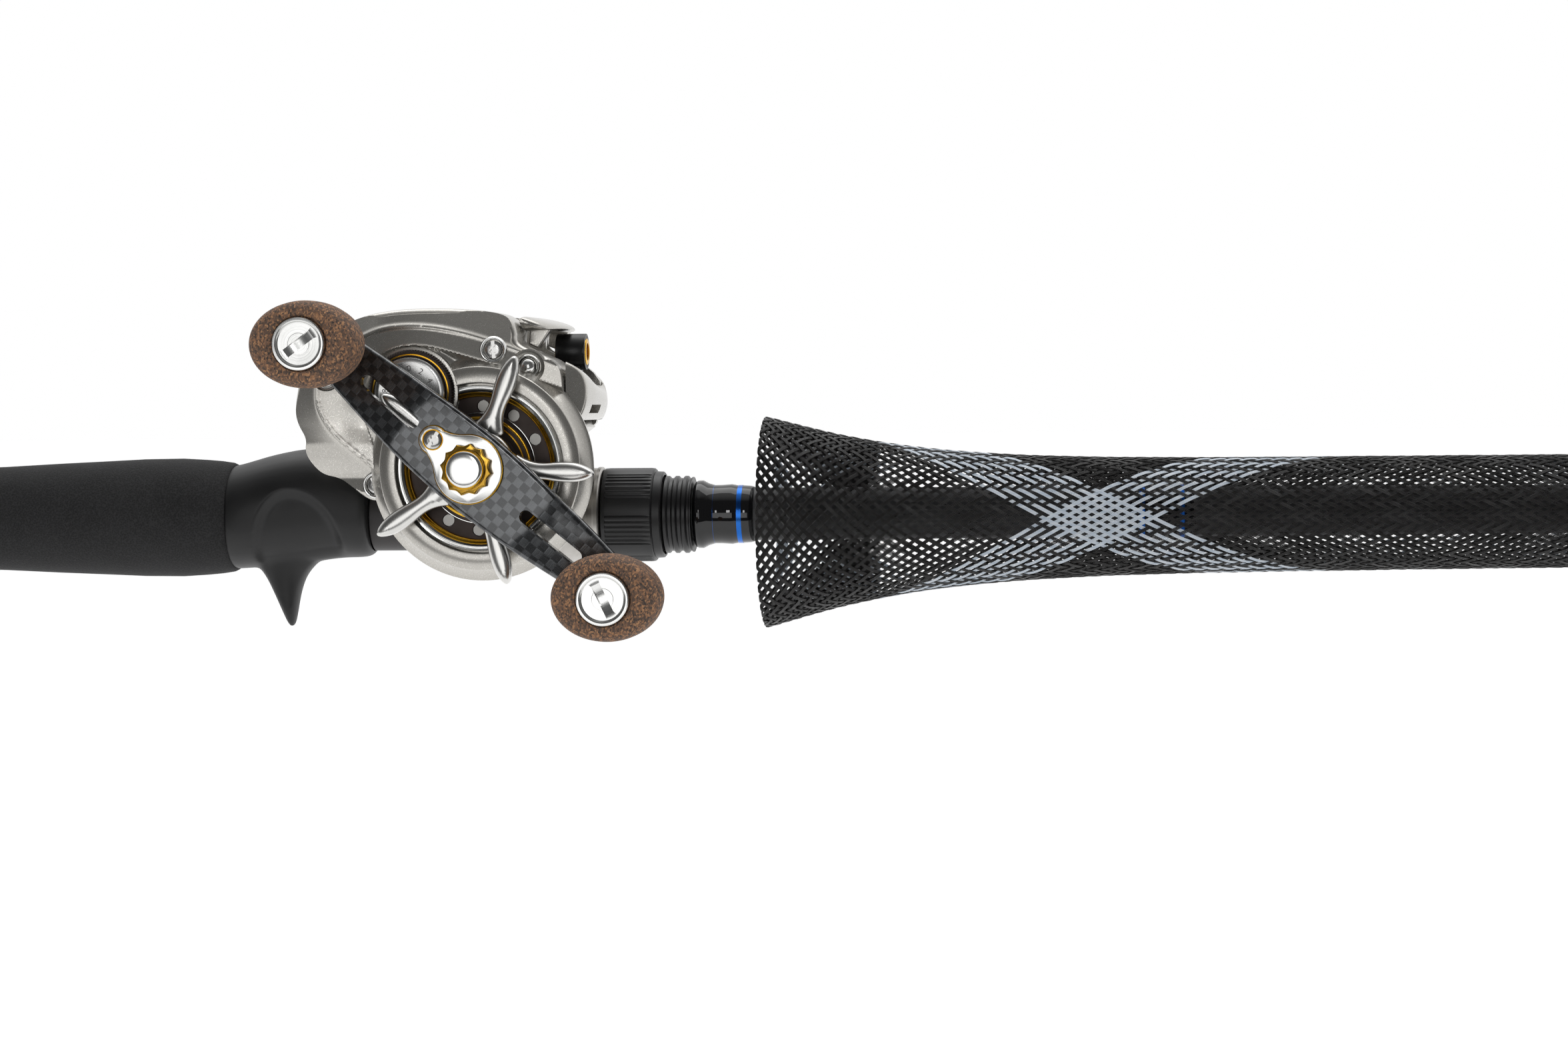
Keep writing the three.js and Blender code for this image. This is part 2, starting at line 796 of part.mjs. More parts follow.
// On the handle side the wall reaches down round the drive shaft.
function gearWallBelly() {
  const ahead = driveX - spoolX;
  const up = driveZ - spoolZ;
  const reach = driveShaftRadius + 4;
  return [
    [ahead + reach + 1, up],
    [ahead + reach * 0.7, up - reach * 0.7],
    [ahead, up - reach],
    [ahead - reach * 0.7, up - reach * 0.7],
    [ahead - reach - 2, up + 1],
  ];
}

function gearCoverShape() {
  return smoothShape(
    fromSpool([
      [-tailReach, -0.2],
      [-tailReach + 1.4, 8],
      [-tailReach + 7, 15.4],
      [-tailReach + 15.4, 19.6],
      [-tailReach + 25.4, archRise],
      [3, archRise + 0.4],
      [11, archRise + 0.2],
      [19, archRise - 0.4],
      [23.2, archRise - 1.8],
      [25.2, archRise - 5.2],
      [24.8, 12],
      [30, 9.8],
      [36, 7.2],
      [36.8, 2],
      [36.6, -7],
      [20, -25],
      [-9.8, -25.8],
      [-13.2, -24.2],
      [-19, -20.6],
      [-22.2, -19.4],
      [-tailReach + 3, -15.7],
      [-tailReach + 2.2, -11.8],
      [-tailReach + 0.6, -6.8],
    ]),
    2,
  );
}

// The raised band that sweeps over the tension knob from the tail to the deck.
function bandShape() {
  return smoothShape(
    fromSpool([
      [-17.4, 10],
      [-12.6, 14.6],
      [-6.6, 16.6],
      [0, 17.2],
      [7, 16.4],
      [14, 14.4],
      [21, 12],
      [28, 9],
      [35.4, 5.6],
      [35.8, 1.8],
      [29, 4.6],
      [21, 7.2],
      [13, 9.4],
      [5, 11],
      [-2, 12],
      [-8, 10.8],
      [-13, 7.6],
    ]),
    2,
  );
}

// The raised leaf on the tail, from under the handle's knob to the low screw.
function leafShape() {
  return smoothShape(
    fromSpool([
      [-24.3, 2.9],
      [-22.5, -5.1],
      [-15.1, -14.1],
      [-9.8, -19.7],
      [-9.5, -16.7],
      [-13.6, -5.5],
      [-16.8, 6.7],
      [-20.8, 6.3],
    ]),
    2,
  );
}

function coverScrews() {
  return [
    { x: spoolX + 20, z: spoolZ + 10.4, face: gearFace },
    { x: spoolX - 10, z: spoolZ - 22.6, face: plateFace },
    { x: spoolX - 22, z: spoolZ + 4, face: plateFace },
  ];
}

function coverPin() {
  return { x: spoolX + 28.5, z: spoolZ + 6.2 };
}

function makeReelFrame() {
  const spoolWindow = new THREE.Path().absarc(
    spoolX,
    spoolZ,
    spoolFlangeRadius + runningGap,
    0,
    2 * Math.PI,
    true,
  );
  const palmShape = frameWallShape([
    [20, -18.2],
    [4, -19.6],
  ]);
  palmShape.holes.push(spoolWindow);
  const gearShape = frameWallShape(gearWallBelly());
  gearShape.holes.push(circle(spoolX, spoolZ, bearingRadius + 0.6));
  const floor = new THREE.Shape();
  const floorRadius = spoolFlangeRadius + 0.9;
  floor.moveTo(...fromSpool([[-tailReach + 2.4, -4]])[0]);
  floor.lineTo(...fromSpool([[-tailReach + 4.2, -10]])[0]);
  floor.lineTo(...fromSpool([[-19.8, -13.6]])[0]);
  floor.lineTo(bodyEnd + 1, spoolZ - 15);
  floor.lineTo(bodyEnd + 1.8, footTop);
  floor.lineTo(spoolX + 12, footTop);
  floor.lineTo(...fromSpool([[31, -14]])[0]);
  floor.lineTo(...fromSpool([[noseStart, -9]])[0]);
  floor.lineTo(...fromSpool([[noseStart - 0.7, -7.1]])[0]);
  floor.lineTo(...fromSpool([[30, -10.4]])[0]);
  floor.lineTo(...fromSpool([[16, -14.6]])[0]);
  const floorStart = Math.atan2(-14.2, 11);
  floor.absarc(spoolX, spoolZ, floorRadius, floorStart, Math.PI * 1.16, true);
  floor.lineTo(...fromSpool([[-tailReach + 7, -4]])[0]);
  const walls = [
    plate(gearShape, halfInside, wallOut, 0, 8),
    plate(palmShape, -wallOut, -halfInside, 0, 14),
    plate(floor, -halfInside - 1, halfInside + 1, 0, 8),
  ];
  const halfAngle = footHalfAngle();
  const foot = [
    bar(saddle(footLow, footLow + footTongue, halfAngle), footStart, footStart + footLength, 5),
    bar(
      saddle(footLow, footTop + 0.6, halfAngle * 0.86),
      footStart + footTongueLength,
      footStart + footLength - footTongueLength,
      5,
    ),
  ];
  const wormBore = disc(wormRadius + runningGap, -wallOut - 1, wallOut + 1, wormX, wormZ, 12);
  const driveBore = disc(driveShaftRadius + runningGap, halfInside, wallOut + 1, driveX, driveZ, 12);
  return cut(join(...walls, ...foot), wormBore, driveBore);
}

function makeGearCover() {
  const body = mouldedCover(gearCoverShape(), [
    [coverIn, 0.3],
    [plateFace - 7, 0],
    [plateFace - 3, 0.7],
    [plateFace - 1, 2],
    [plateFace, 4],
  ]);
  const band = plate(bandShape(), plateFace - 3, gearFace, 0.6);
  const boss = revolveOut(
    [
      [0, coverIn],
      [bossRadius, coverIn],
      [bossRadius, bossFace - 2],
      [bossRadius - 0.6, bossFace - 0.6],
      [bossRadius - 2, bossFace],
      [0, bossFace],
    ],
    driveX,
    driveZ,
    36,
  );
  const cone = revolveOut(
    [
      [0, plateFace - 2],
      [bossRadius + bossFlank, plateFace - 2],
      [bossRadius + bossFlank, plateFace],
      [bossRadius, bossFace - 1],
      [0, bossFace - 1],
    ],
    driveX,
    driveZ,
    36,
  );
  const flank = common(cone, plate(gearCoverShape(), coverIn, bossFace));
  const leaf = plate(leafShape(), plateFace - 1, plateFace + leafHeight, 0.5);
  const knobBoss = disc(knobBossRadius, coverIn, knobBossFace, spoolX, spoolZ, 28);
  const shell = join(cut(join(body, band, boss, flank, leaf), knobClearance()), knobBoss);
  const inside = coverThickness;
  const well = bossRadius - bossWall;
  const gearRoom = driveOuterRadius() + runningGap + 0.2;
  const yokeRoom = pinionHubRadius + 6;
  const yokeEnd = pinionHubStart + 2 + clutchTravel + 0.4;
  const hollow = plate(smoothShape(fromSpool(insideOutline(inside)), 2), coverIn - 1, plateFace - 3.4);
  const screws = coverScrews().map(({ x, z, face }) =>
    disc(screwRadius + 0.35, face - 1.6, face + 3, x, z, 14),
  );
  const pin = coverPin();
  return cut(
    shell,
    hollow,
    disc(gearRoom, coverIn - 1, dragOut + 0.4, driveX, driveZ, 24),
    disc(well, pocketFloor, bossFace + 1, driveX, driveZ, 36),
    disc(driveShaftRadius + runningGap, coverIn - 1, bossFace + 1, driveX, driveZ, 16),
    disc(yokeRoom, coverIn - 1, yokeEnd, spoolX, spoolZ, 20),
    disc(shaftRadius + runningGap, coverIn - 1, plateFace + 2, spoolX, spoolZ, 12),
    disc(pinRadius + 0.3, plateFace - 1.5, plateFace + 8, pin.x, pin.z, 16),
    wormGearRoom(),
    ...screws,
  );
}

// Everything that stands above the tension knob's seat is cut away round it.
function knobClearance() {
  return disc(knobBossRadius, knobBossFace - 0.2, bossFace + 5, spoolX, spoolZ, 28);
}

function rectangle(x0, x1, y0, y1) {
  return shapeThrough([
    [x0, y0],
    [x1, y0],
    [x1, y1],
    [x0, y1],
  ]);
}

function driveOuterRadius() {
  return gearModule * (driveTeeth / 2 + 0.8);
}

// Inside of the gear cover, kept a wall's thickness within the outline.
function insideOutline(wall) {
  return [
    [-tailReach + wall, -0.2],
    [-tailReach + 3 + wall, 7.6],
    [-14, 14],
    [-3, archRise - 2 - wall],
    [9, archRise - 2 - wall],
    [19, archRise - 4 - wall],
    [22, 8],
    [28, 6.4 - wall],
    [32, 0],
    [31, -8],
    [16, -14],
    [-4, -14],
    [-8, -20],
    [-17, -17],
    [-tailReach + 5 + wall, -14],
  ];
}

function makePerforatedPlate() {
  const outer = bossRadius - bossWall - trimWidth - 2 * seatGap;
  const inner = starHubRadius - 1;
  const shape = new THREE.Shape().absarc(0, 0, outer, 0, 2 * Math.PI, false);
  shape.holes.push(circle(0, 0, inner));
  for (let hole = 0; hole < coverHoles; hole++) {
    const turn = (hole / coverHoles) * 2 * Math.PI - 0.05;
    const x = coverHoleCircle * Math.cos(turn);
    shape.holes.push(circle(x, coverHoleCircle * Math.sin(turn), coverHoleRadius));
  }
  const from = pocketFloor + seatGap;
  return cut(plate(shape, from, from + plateThickness, 0, 5).translate(driveX, 0, driveZ), knobSeatRoom());
}

// The tension knob's seat, with the gap that the pieces in the boss keep to it.
function knobSeatRoom() {
  return disc(knobBossRadius + seatGap, pocketFloor - 1, bossFace + 5, spoolX, spoolZ, 28);
}

function makeOuterTrim() {
  const outer = bossRadius - bossWall - seatGap;
  const from = pocketFloor + seatGap;
  return cut(ring(outer - trimWidth, outer, from, from + 2.6, driveX, driveZ, 36), knobSeatRoom());
}

function makeInnerTrim() {
  const from = pocketFloor + 2 * seatGap + plateThickness;
  return ring(starHubRadius + 1.6, starHubRadius + 3, from, from + 0.8, driveX, driveZ, 32);
}

function makeScrew({ x, z, face }) {
  const head = disc(screwRadius, face - 1.6 + seatGap, face - 0.1, x, z, 14);
  const slot = plate(rectangle(-screwRadius - 1, screwRadius + 1, -0.35, 0.35), face - 0.7, face + 1);
  return cut(head, slot.translate(x, 0, z));
}

function makeCoverPin() {
  const { x, z } = coverPin();
  const base = plateFace - 1.5 + seatGap;
  const profile = [
    [0, base],
    [pinRadius, base],
    [pinRadius, plateFace + 0.6],
    [pinRadius - 0.6, plateFace + 1],
    [pinRadius - 1.3, plateFace + 0.4],
    [pinRadius - 1.4, plateFace + 1.6],
    [0, plateFace + 2],
  ];
  return revolveOut(profile, x, z, 16);
}

function makePalmCover() {
  const outline = smoothShape(
    fromSpool([
      ...archPoints(),
      [noseStart - 0.5, 2],
      [noseStart - 0.7, -6],
      [30, -14.6],
      [18, -19.6],
      [2, -21.2],
      [-12, -19.6],
      [-21, -15.6],
    ]),
    2,
  );
  const body = mouldedCover(outline, [
    [-coverIn, 0.2],
    [-palmFace + 9, 0.2],
    [-palmFace + 5, 1.6],
    [-palmFace + 2, 4.4],
    [-palmFace + 0.5, 8],
    [-palmFace, 11.5],
  ]);
  const dialBoss = disc(brakeDialRadius + 1.6, -palmFace - 0.6, -coverIn - 3, spoolX, spoolZ, 28);
  const hollowFloor = -palmFace + coverThickness + 1;
  const hollow = disc(spoolFlangeRadius - 2, hollowFloor, -coverIn + 1, spoolX, spoolZ, 28);
  const dialWell = disc(brakeDialRadius + runningGap, -palmFace - 2, -palmFace + 1.4, spoolX, spoolZ, 28);
  const spindle = disc(1.6, -palmFace - 2, -coverIn, spoolX, spoolZ, 12);
  return cut(join(body, dialBoss), hollow, dialWell, spindle);
}

function makeBrakeDial() {
  const floor = palmFace - 1.4 + seatGap;
  const profile = [
    [0, -floor + 2.6],
    [1.3, -floor + 2.6],
    [1.3, -floor],
    [brakeDialRadius, -floor],
    [brakeDialRadius, -floor - brakeDialHeight + 0.8],
    [brakeDialRadius - 0.8, -floor - brakeDialHeight],
    [brakeDialRadius - 3, -floor - brakeDialHeight + 0.6],
    [0, -floor - brakeDialHeight + 0.6],
  ];
  const grip = plate(
    rectangle(-brakeDialRadius + 2, brakeDialRadius - 2, -1.1, 1.1),
    -floor - brakeDialHeight - 0.4,
    -floor - 1,
  );
  return join(revolveOut(profile, spoolX, spoolZ, 28), grip.translate(spoolX, 0, spoolZ));
}

function makeThumbRest() {
  const reach = thumbRestReach;
  const profile = smoothShape(
    fromSpool([
      [26, archRise - 4.7],
      [24.5, archRise - 1.5],
      [reach - 5.8, archRise - 1.8],
      [reach - 2.6, archRise - 2.5],
      [reach - 0.6, archRise - 3.4],
      [reach, archRise - 4.3],
      [reach - 1.6, archRise - 4.8],
      [reach - 5, archRise - 5],
    ]),
    3,
  );
  const half = thumbRestWidth / 2;
  const edge = [
    [23, half],
    [reach - 6.2, half - 0.6],
    [reach - 2.8, half - 4],
    [reach - 1, half - 10],
  ];
  const plan = smoothShape(
    [...edge, [reach, 0], ...edge.map(([ahead, side]) => [ahead, -side]).reverse()].map(
      ([ahead, side]) => [spoolX + ahead, side],
    ),
    2,
  );
  const visor = common(plate(profile, -half, half), slab(plan, spoolZ, spoolZ + archRise + 2));
  const strut = shapeThrough(
    fromSpool([
      [25.9, 11.7],
      [28.4, 10.7],
      [31.4, archRise - 4.7],
      [30, archRise - 3.8],
      [26.2, archRise - 4.4],
    ]),
  );
  const struts = [wallOut - 4.4, -wallOut + 0.2].map((from) => plate(strut, from, from + 4.2));
  return join(visor, ...struts);
}

// The nose's side view: places from its seam to its front, and heights from bottom to top.
function noseRing(out, reach, top) {
  return [
    [0, 1],
    [0.28, 0.93],
    [0.62, 0.8],
    [0.86, 0.66],
    [0.97, 0.55],
    [1, 0.46],
    [0.96, 0.36],
    [0.84, 0.2],
    [0.66, 0.07],
    [0.4, 0],
    [0, 0.02],
  ].map(([along, up]) => {
    const ahead = noseStart + along * (reach - noseStart);
    return new THREE.Vector3(spoolX + ahead, -out, spoolZ - noseBottom + up * (top + noseBottom));
  });
}

// The nose joins the two sides in front of the level wind: high beside the cover on the handle
// side, low where the line passes, and drawn back on the palm side.
function makeFrontCover() {
  const side = gearFace - 4;
  const inside = wallOut + seatGap;
  const body = loft([
    noseRing(side, noseReach - 2.6, noseTop - 0.9),
    noseRing(side - 1, noseReach - 1.2, noseTop - 0.2),
    noseRing(side - 4, noseReach - 0.2, noseTop),
    noseRing(inside + 0.2, noseReach, noseTop),
    noseRing(inside - 1.4, noseReach, noseLip),
    noseRing(8, noseReach - 0.1, noseLip - 0.3),
    noseRing(0, noseReach - 0.4, noseLip - 0.5),
    noseRing(-8, noseReach - 1.2, noseLip - 0.5),
    noseRing(-inside + 1.4, noseReach - 2.3, noseLip - 0.2),
    noseRing(-inside - 0.2, noseReach - 2.6, noseTop - 2),
    noseRing(-inside - 4, noseReach - 3.4, noseTop - 2.2),
    noseRing(-inside - 6.6, noseReach - 4.6, noseTop - 3),
  ]);
  const roomFront = spoolX + noseStart + 2;
  const room = plate(rectangle(spoolX + 30, roomFront, spoolZ - 8, spoolZ + 9), -inside, inside);
  const slot = plate(
    rectangle(spoolX + noseStart + 1.3, spoolX + noseReach + 1, spoolZ - 5.3, spoolZ - 3.3),
    7,
    20,
  );
  const bossRoom = disc(bossRadius + seatGap, wallOut - 1, side + 1, driveX, driveZ, 36);
  return cut(body, room, slot, bossRoom, wormGearRoom());
}

function makeThumbBar() {
  const low = thumbBarLow();
  const profile = smoothShape(
    [
      [spoolX - tailReach + 3.4, low + 0.4],
      [spoolX - tailReach + 4.2, low + thumbBarThickness - 0.4],
      [spoolX - tailReach + 8, low + thumbBarThickness],
      [spoolX - spoolFlangeRadius - 1.6, low + thumbBarThickness - 1.2],
      [spoolX - spoolFlangeRadius - 1.2, low + 0.6],
      [spoolX - tailReach + 8, low],
    ],
    3,
  );
  return plate(profile, -halfInside + runningGap, halfInside - runningGap);
}

function thumbBarLow() {
  return spoolZ - 4 + seatGap + thumbBarTravel;
}

function makeTensionKnob() {
  const base = knobBossFace + seatGap;
  const top = base + tensionKnobHeight;
  const profile = [
    [0, base],
    [tensionKnobRadius, base],
    [tensionKnobRadius, base + tensionRimHeight - 0.6],
    [tensionKnobRadius - 0.6, base + tensionRimHeight],
    [tensionFaceRadius, base + tensionRimHeight],
    [tensionFaceRadius, top - 0.8],
    [tensionFaceRadius - 0.8, top],
    [0, top],
  ];
  return revolveOut(profile, spoolX, spoolZ, 28);
}

// ---------- Spool and drive ----------

function makeSpool() {
  const rim = spoolWidth / 2 + flangeThickness;
  const side = spoolWidth / 2;
  const bore = shaftRadius + 0.1;
  const profile = [
    [bore, -rim + 3],
    [spoolArborRadius - 3, -rim + 3],
    [spoolArborRadius, -rim + 0.4],
    [spoolFlangeRadius, -rim],
    [spoolFlangeRadius, -side],
    [spoolArborRadius + 1, -side + 0.3],
    [spoolArborRadius, -side + 3],
    [spoolArborRadius, side - 3],
    [spoolArborRadius + 1, side - 0.3],
    [spoolFlangeRadius, side],
    [spoolFlangeRadius, rim],
    [spoolArborRadius, rim - 0.4],
    [spoolArborRadius - 3, rim - 3],
    [bore, rim - 3],
    [bore, -rim + 3],
  ];
  return revolveOut(profile, spoolX, spoolZ, 24);
}

function makeSpoolShaft() {
  return disc(shaftRadius, -coverIn - 6, plateFace - 0.6, spoolX, spoolZ, 12);
}

function makeSpoolBearing(from) {
  return ring(shaftRadius + 0.1, bearingRadius, from, from + bearingWidth, spoolX, spoolZ, 16);
}

// A spur gear outline: four points to a tooth, with the tooth at turn 0 on +X.
function gearShape(teeth, addendum, dedendum, phase) {
  const pitch = (gearModule * teeth) / 2;
  const points = [];
  const toothTurn = (2 * Math.PI) / teeth;
  for (let tooth = 0; tooth < teeth; tooth++) {
    const middle = tooth * toothTurn + phase;
    points.push([pitch - dedendum, middle - 0.33 * toothTurn]);
    points.push([pitch + addendum, middle - 0.1 * toothTurn]);
    points.push([pitch + addendum, middle + 0.1 * toothTurn]);
    points.push([pitch - dedendum, middle + 0.33 * toothTurn]);
  }
  return shapeThrough(points.map(([r, turn]) => [r * Math.cos(turn), r * Math.sin(turn)]));
}

function makeDriveGear() {
  const toPinion = THREE.MathUtils.degToRad(driveDirection + 180);
  const shape = gearShape(driveTeeth, 0.8 * gearModule, 1.05 * gearModule, toPinion);
  shape.holes.push(circle(0, 0, driveShaftRadius + 0.1));
  return plate(shape, gearIn, gearOut, 0, 8).translate(driveX, 0, driveZ);
}

function makePinion() {
  const toDrive = THREE.MathUtils.degToRad(driveDirection);
  const phase = toDrive + Math.PI / pinionTeeth;
  const shape = gearShape(pinionTeeth, 0.8 * gearModule, 1.05 * gearModule, phase);
  const teeth = plate(shape, pinionIn, pinionHubStart, 0, 6).translate(spoolX, 0, spoolZ);
  const hub = disc(pinionHubRadius, pinionHubStart - 0.1, pinionHubStart + 2, spoolX, spoolZ, 16);
  const bore = disc(shaftRadius + 0.1, pinionIn - 1, pinionHubStart + 3, spoolX, spoolZ, 16);
  return cut(join(teeth, hub), bore);
}

function makeDragWashers() {
  const from = gearOut + 0.15;
  return ring(driveShaftRadius + 0.1, dragRadius, from, from + dragThickness, driveX, driveZ, 28);
}

function makeDriveShaft() {
  return disc(driveShaftRadius, halfInside + 0.2, armOut + 1.6, driveX, driveZ, 16);
}

// One arm of the star along +X: concave to a neck, then a leaf that leans a little to one side.
function paddleOutline() {
  const root = starRootWidth / 2;
  const neck = paddleNeck / 2;
  const half = paddleWidth / 2;
  const reach = starRadius - starHubRadius;
  return [
    [starHubRadius, -root],
    [starHubRadius + 0.16 * reach, -neck - 0.7],
    [starHubRadius + 0.3 * reach, -neck],
    [starHubRadius + 0.54 * reach, -half],
    [starHubRadius + 0.75 * reach, -half - 0.1],
    [starRadius - 1.8, -half + 0.6],
    [starRadius, -0.3],
    [starRadius - 1.8, half - 1.2],
    [starHubRadius + 0.72 * reach, half - 0.1],
    [starHubRadius + 0.54 * reach, half - 0.2],
    [starHubRadius + 0.3 * reach, neck - 0.1],
    [starHubRadius + 0.16 * reach, neck + 0.6],
    [starHubRadius, root],
  ];
}

function makeStarDrag() {
  const outline = [];
  for (let arm = 0; arm < starArms; arm++) {
    const turn = THREE.MathUtils.degToRad(starTurn - (360 / starArms) * arm);
    const sideView = paddleOutline();
    const cosTurn = Math.cos(turn);
    const sinTurn = Math.sin(turn);
    sideView
      .reverse()
      .forEach(([r, w]) => outline.push([r * cosTurn - w * sinTurn, r * sinTurn + w * cosTurn]));
  }
  const arms = plate(smoothShape(outline, 1), starIn, starOut, 0.6).translate(driveX, 0, driveZ);
  const hub = revolveOut(
    [
      [0, pocketFloor + seatGap],
      [starHubRadius - 1.4, pocketFloor + seatGap],
      [starHubRadius - 1.4, starIn - 0.6],
      [starHubRadius, starIn],
      [starHubRadius, starOut],
      [starHubRadius - 2, starOut + 0.6],
      [0, starOut + 0.6],
    ],
    driveX,
    driveZ,
    28,
  );
  const bore = disc(driveShaftRadius + 0.1, pocketFloor - 2, armOut, driveX, driveZ, 16);
  return cut(join(arms, hub), bore);
}

// ---------- Handle ----------

// The handle is drawn along +X at the drive axis, then turned to its direction.
function placeHandle(geometry) {
  return solidTransform(geometry, (matrix) =>
    matrix
      .makeRotationY(-THREE.MathUtils.degToRad(handleDirection))
      .setPosition(driveX, 0, driveZ),
  );
}

function solidTransform(shape, fill) {
  const geometry = shape.isBufferGeometry ? shape : geometryOf(shape);
  return geometry.applyMatrix4(fill(new THREE.Matrix4()));
}

// How far the arm's middle plane lies behind its flat centre at a distance along it.
function armDropAt(along) {
  const start = handleSpan / 2 - 17;
  const share = THREE.MathUtils.clamp((Math.abs(along) - start) / 12, 0, 1);
  return armSweep * share * share * (3 - 2 * share);
}

// Half the arm's width at a distance along it: a long lens with round ends.
function armHalfWidthAt(along) {
  const end = handleSpan / 2;
  const reach = Math.abs(along);
  const endHalf = armEndWidth / 2;
  if (reach > end) return Math.max(0.6, Math.sqrt(Math.max(0, endHalf ** 2 - (reach - end) ** 2)));
  const share = reach / end;
  return armMiddleWidth / 2 - (armMiddleWidth / 2 - endHalf) * share ** 1.6;
}

function makeHandleArm() {
  const end = handleSpan / 2;
  const endHalf = armEndWidth / 2;
  const chamfer = 0.5;
  const half = [0, 0.2, 0.4, 0.6, 0.7, 0.78, 0.86, 0.94, 1].map((share) => share * end);
  const tip = [0.5, 0.8, 0.95, 1].map((share) => end + share * endHalf);
  const reaches = [...half, ...tip];
  const places = [...reaches.slice(1).reverse().map((reach) => -reach), ...reaches];
  const rings = places.map((along) => {
    const width = armHalfWidthAt(along);
    const back = armIn - armDropAt(along);
    const face = back + armThickness;
    const edge = Math.min(chamfer, width / 2);
    return [
      [-width, back],
      [width, back],
      [width, face - edge],
      [width - edge, face],
      [-width + edge, face],
      [-width, face - edge],
    ].map(([across, out]) => new THREE.Vector3(along, -out, across));
  });
  const slots = [-1, 1].map((side) => {
    const shape = slotShape(side * armSlotStart, side * armSlotEnd, armSlotWidth);
    return plate(shape, armIn - armSweep - 1, armOut + 1, 0, 4);
  });
  const holes = [-1, 1].map((side) =>
    disc(knobPostRadius + runningGap, armIn - armSweep - 1, armOut + 1, side * end, 0, 12),
  );
  const bore = disc(driveShaftRadius + 0.1, armIn - 1, armOut + 1, 0, 0, 16);
  return placeHandle(cut(loft(rings), bore, ...slots, ...holes));
}

// A slot with round ends between two places on the x axis.
function slotShape(from, to, width) {
  const [low, high] = from < to ? [from, to] : [to, from];
  const radius = width / 2;
  return new THREE.Shape()
    .absarc(high - radius, 0, radius, -Math.PI / 2, Math.PI / 2, false)
    .absarc(low + radius, 0, radius, Math.PI / 2, Math.PI * 1.5, false);
}

function makeRetainer() {
  const shoulder = THREE.MathUtils.degToRad(retainerShoulder);
  const lobeTurn = THREE.MathUtils.degToRad(105);
  const waist = [
    [0.76 * retainerReach, retainerLobeRadius + 0.55],
    [0.63 * retainerReach, retainerLobeRadius + 1.5],
  ];
  const shape = new THREE.Shape().absarc(0, 0, retainerRadius, shoulder, 2 * Math.PI - shoulder, false);
  shape.lineTo(waist[1][0], -waist[1][1]);
  shape.lineTo(waist[0][0], -waist[0][1]);
  shape.absarc(retainerReach, 0, retainerLobeRadius, -lobeTurn, lobeTurn, false);
  shape.lineTo(...waist[0]);
  shape.lineTo(...waist[1]);
  shape.holes.push(circle(0, 0, driveShaftRadius + 0.4));
  shape.holes.push(circle(retainerReach, 0, 1.2));
  const from = armOut + seatGap;
  return placeHandle(plate(shape, from, from + retainerThickness, 0, 10));
}

function makeRetainerScrew() {
  const base = armOut + seatGap + retainerThickness + 0.15;
  const head = disc(screwRadius - 0.1, base, base + 0.9, retainerReach, 0, 14);
  const shank = disc(0.9, armOut + 0.15, base + 0.2, retainerReach, 0, 10);
  const slot = plate(rectangle(retainerReach - 3, retainerReach + 3, -0.3, 0.3), base + 0.5, base + 2);
  return placeHandle(cut(join(head, shank), slot));
}

function makeHandleNut() {
  const base = armOut + 2 * seatGap + retainerThickness;
  const scallops = 12;
  const points = [];
  for (let step = 0; step < scallops * 2; step++) {
    const turn = (step / scallops) * Math.PI;
    const radius = step % 2 ? handleNutRadius - 0.55 : handleNutRadius;
    points.push([radius * Math.cos(turn), radius * Math.sin(turn)]);
  }
  const skirt = plate(shapeThrough(points), base, base + handleNutHeight * 0.6);
  const cap = revolveOut(
    [
      [0, base],
      [handleNutRadius - 1.3, base],
      [handleNutRadius - 1.4, base + handleNutHeight * 0.84],
      [handleNutRadius - 3, base + handleNutHeight],
      [0, base + handleNutHeight],
    ],
    0,
    0,
    20,
  );
  const bore = disc(driveShaftRadius + 0.1, base - 1, armOut + 1.8 + seatGap, 0, 0, 16);
  return placeHandle(cut(join(skirt, cap), bore));
}

// A knob's place from its end of the handle: side is 1 for the rear knob, -1 for the front one.
function knobCentre(side) {
  return {
    x: driveX + side * (handleSpan / 2) * cosDeg(handleDirection),
    z: driveZ + side * (handleSpan / 2) * sinDeg(handleDirection),
  };
}

function makeKnob(side) {
  const { x, z } = knobCentre(side);
  const sections = [
    [0, 0.62],
    [0.06, 0.72],
    [0.3, 0.9],
    [0.62, 1],
    [0.86, 0.97],
    [0.97, 0.84],
    [1, 0.74],
  ];
  const body = loft(
    sections.map(([share, size]) =>
      oval(
        (along, up) => new THREE.Vector3(x + along, -(knobIn + share * knobLength), z + up),
        (knobWidth / 2) * size,
        (knobHeight / 2) * size,
        20,
        2.1,
      ),
    ),
  );
  const bore = disc(knobPostRadius + runningGap, knobIn - 1, knobOut - 2, x, z, 14);
  const capSeat = disc(knobCapRadius + seatGap, knobOut - knobCapHeight * 0.6, knobOut + 1, x, z, 20);
  return cut(body, bore, capSeat);
}

function makeKnobCap(side) {
  const { x, z } = knobCentre(side);
  const base = knobOut - knobCapHeight * 0.6 + seatGap;
  const profile = [
    [0, base],
    [knobCapRadius, base],
    [knobCapRadius, base + knobCapHeight - 0.4],
    [knobCapRadius - 0.4, base + knobCapHeight],
    [knobCapRadius - 1, base + knobCapHeight],
    [knobCapRadius - 1.3, base + knobCapHeight - 0.6],
    [0, base + knobCapHeight - 0.6],
  ];
  const slot = plate(rectangle(-knobCapRadius + 1.2, knobCapRadius - 1.2, -0.7, 0.7), base + 0.5, base + 4);
  return cut(revolveOut(profile, x, z, 22), slot.rotateY(-0.6).translate(x, 0, z));
}

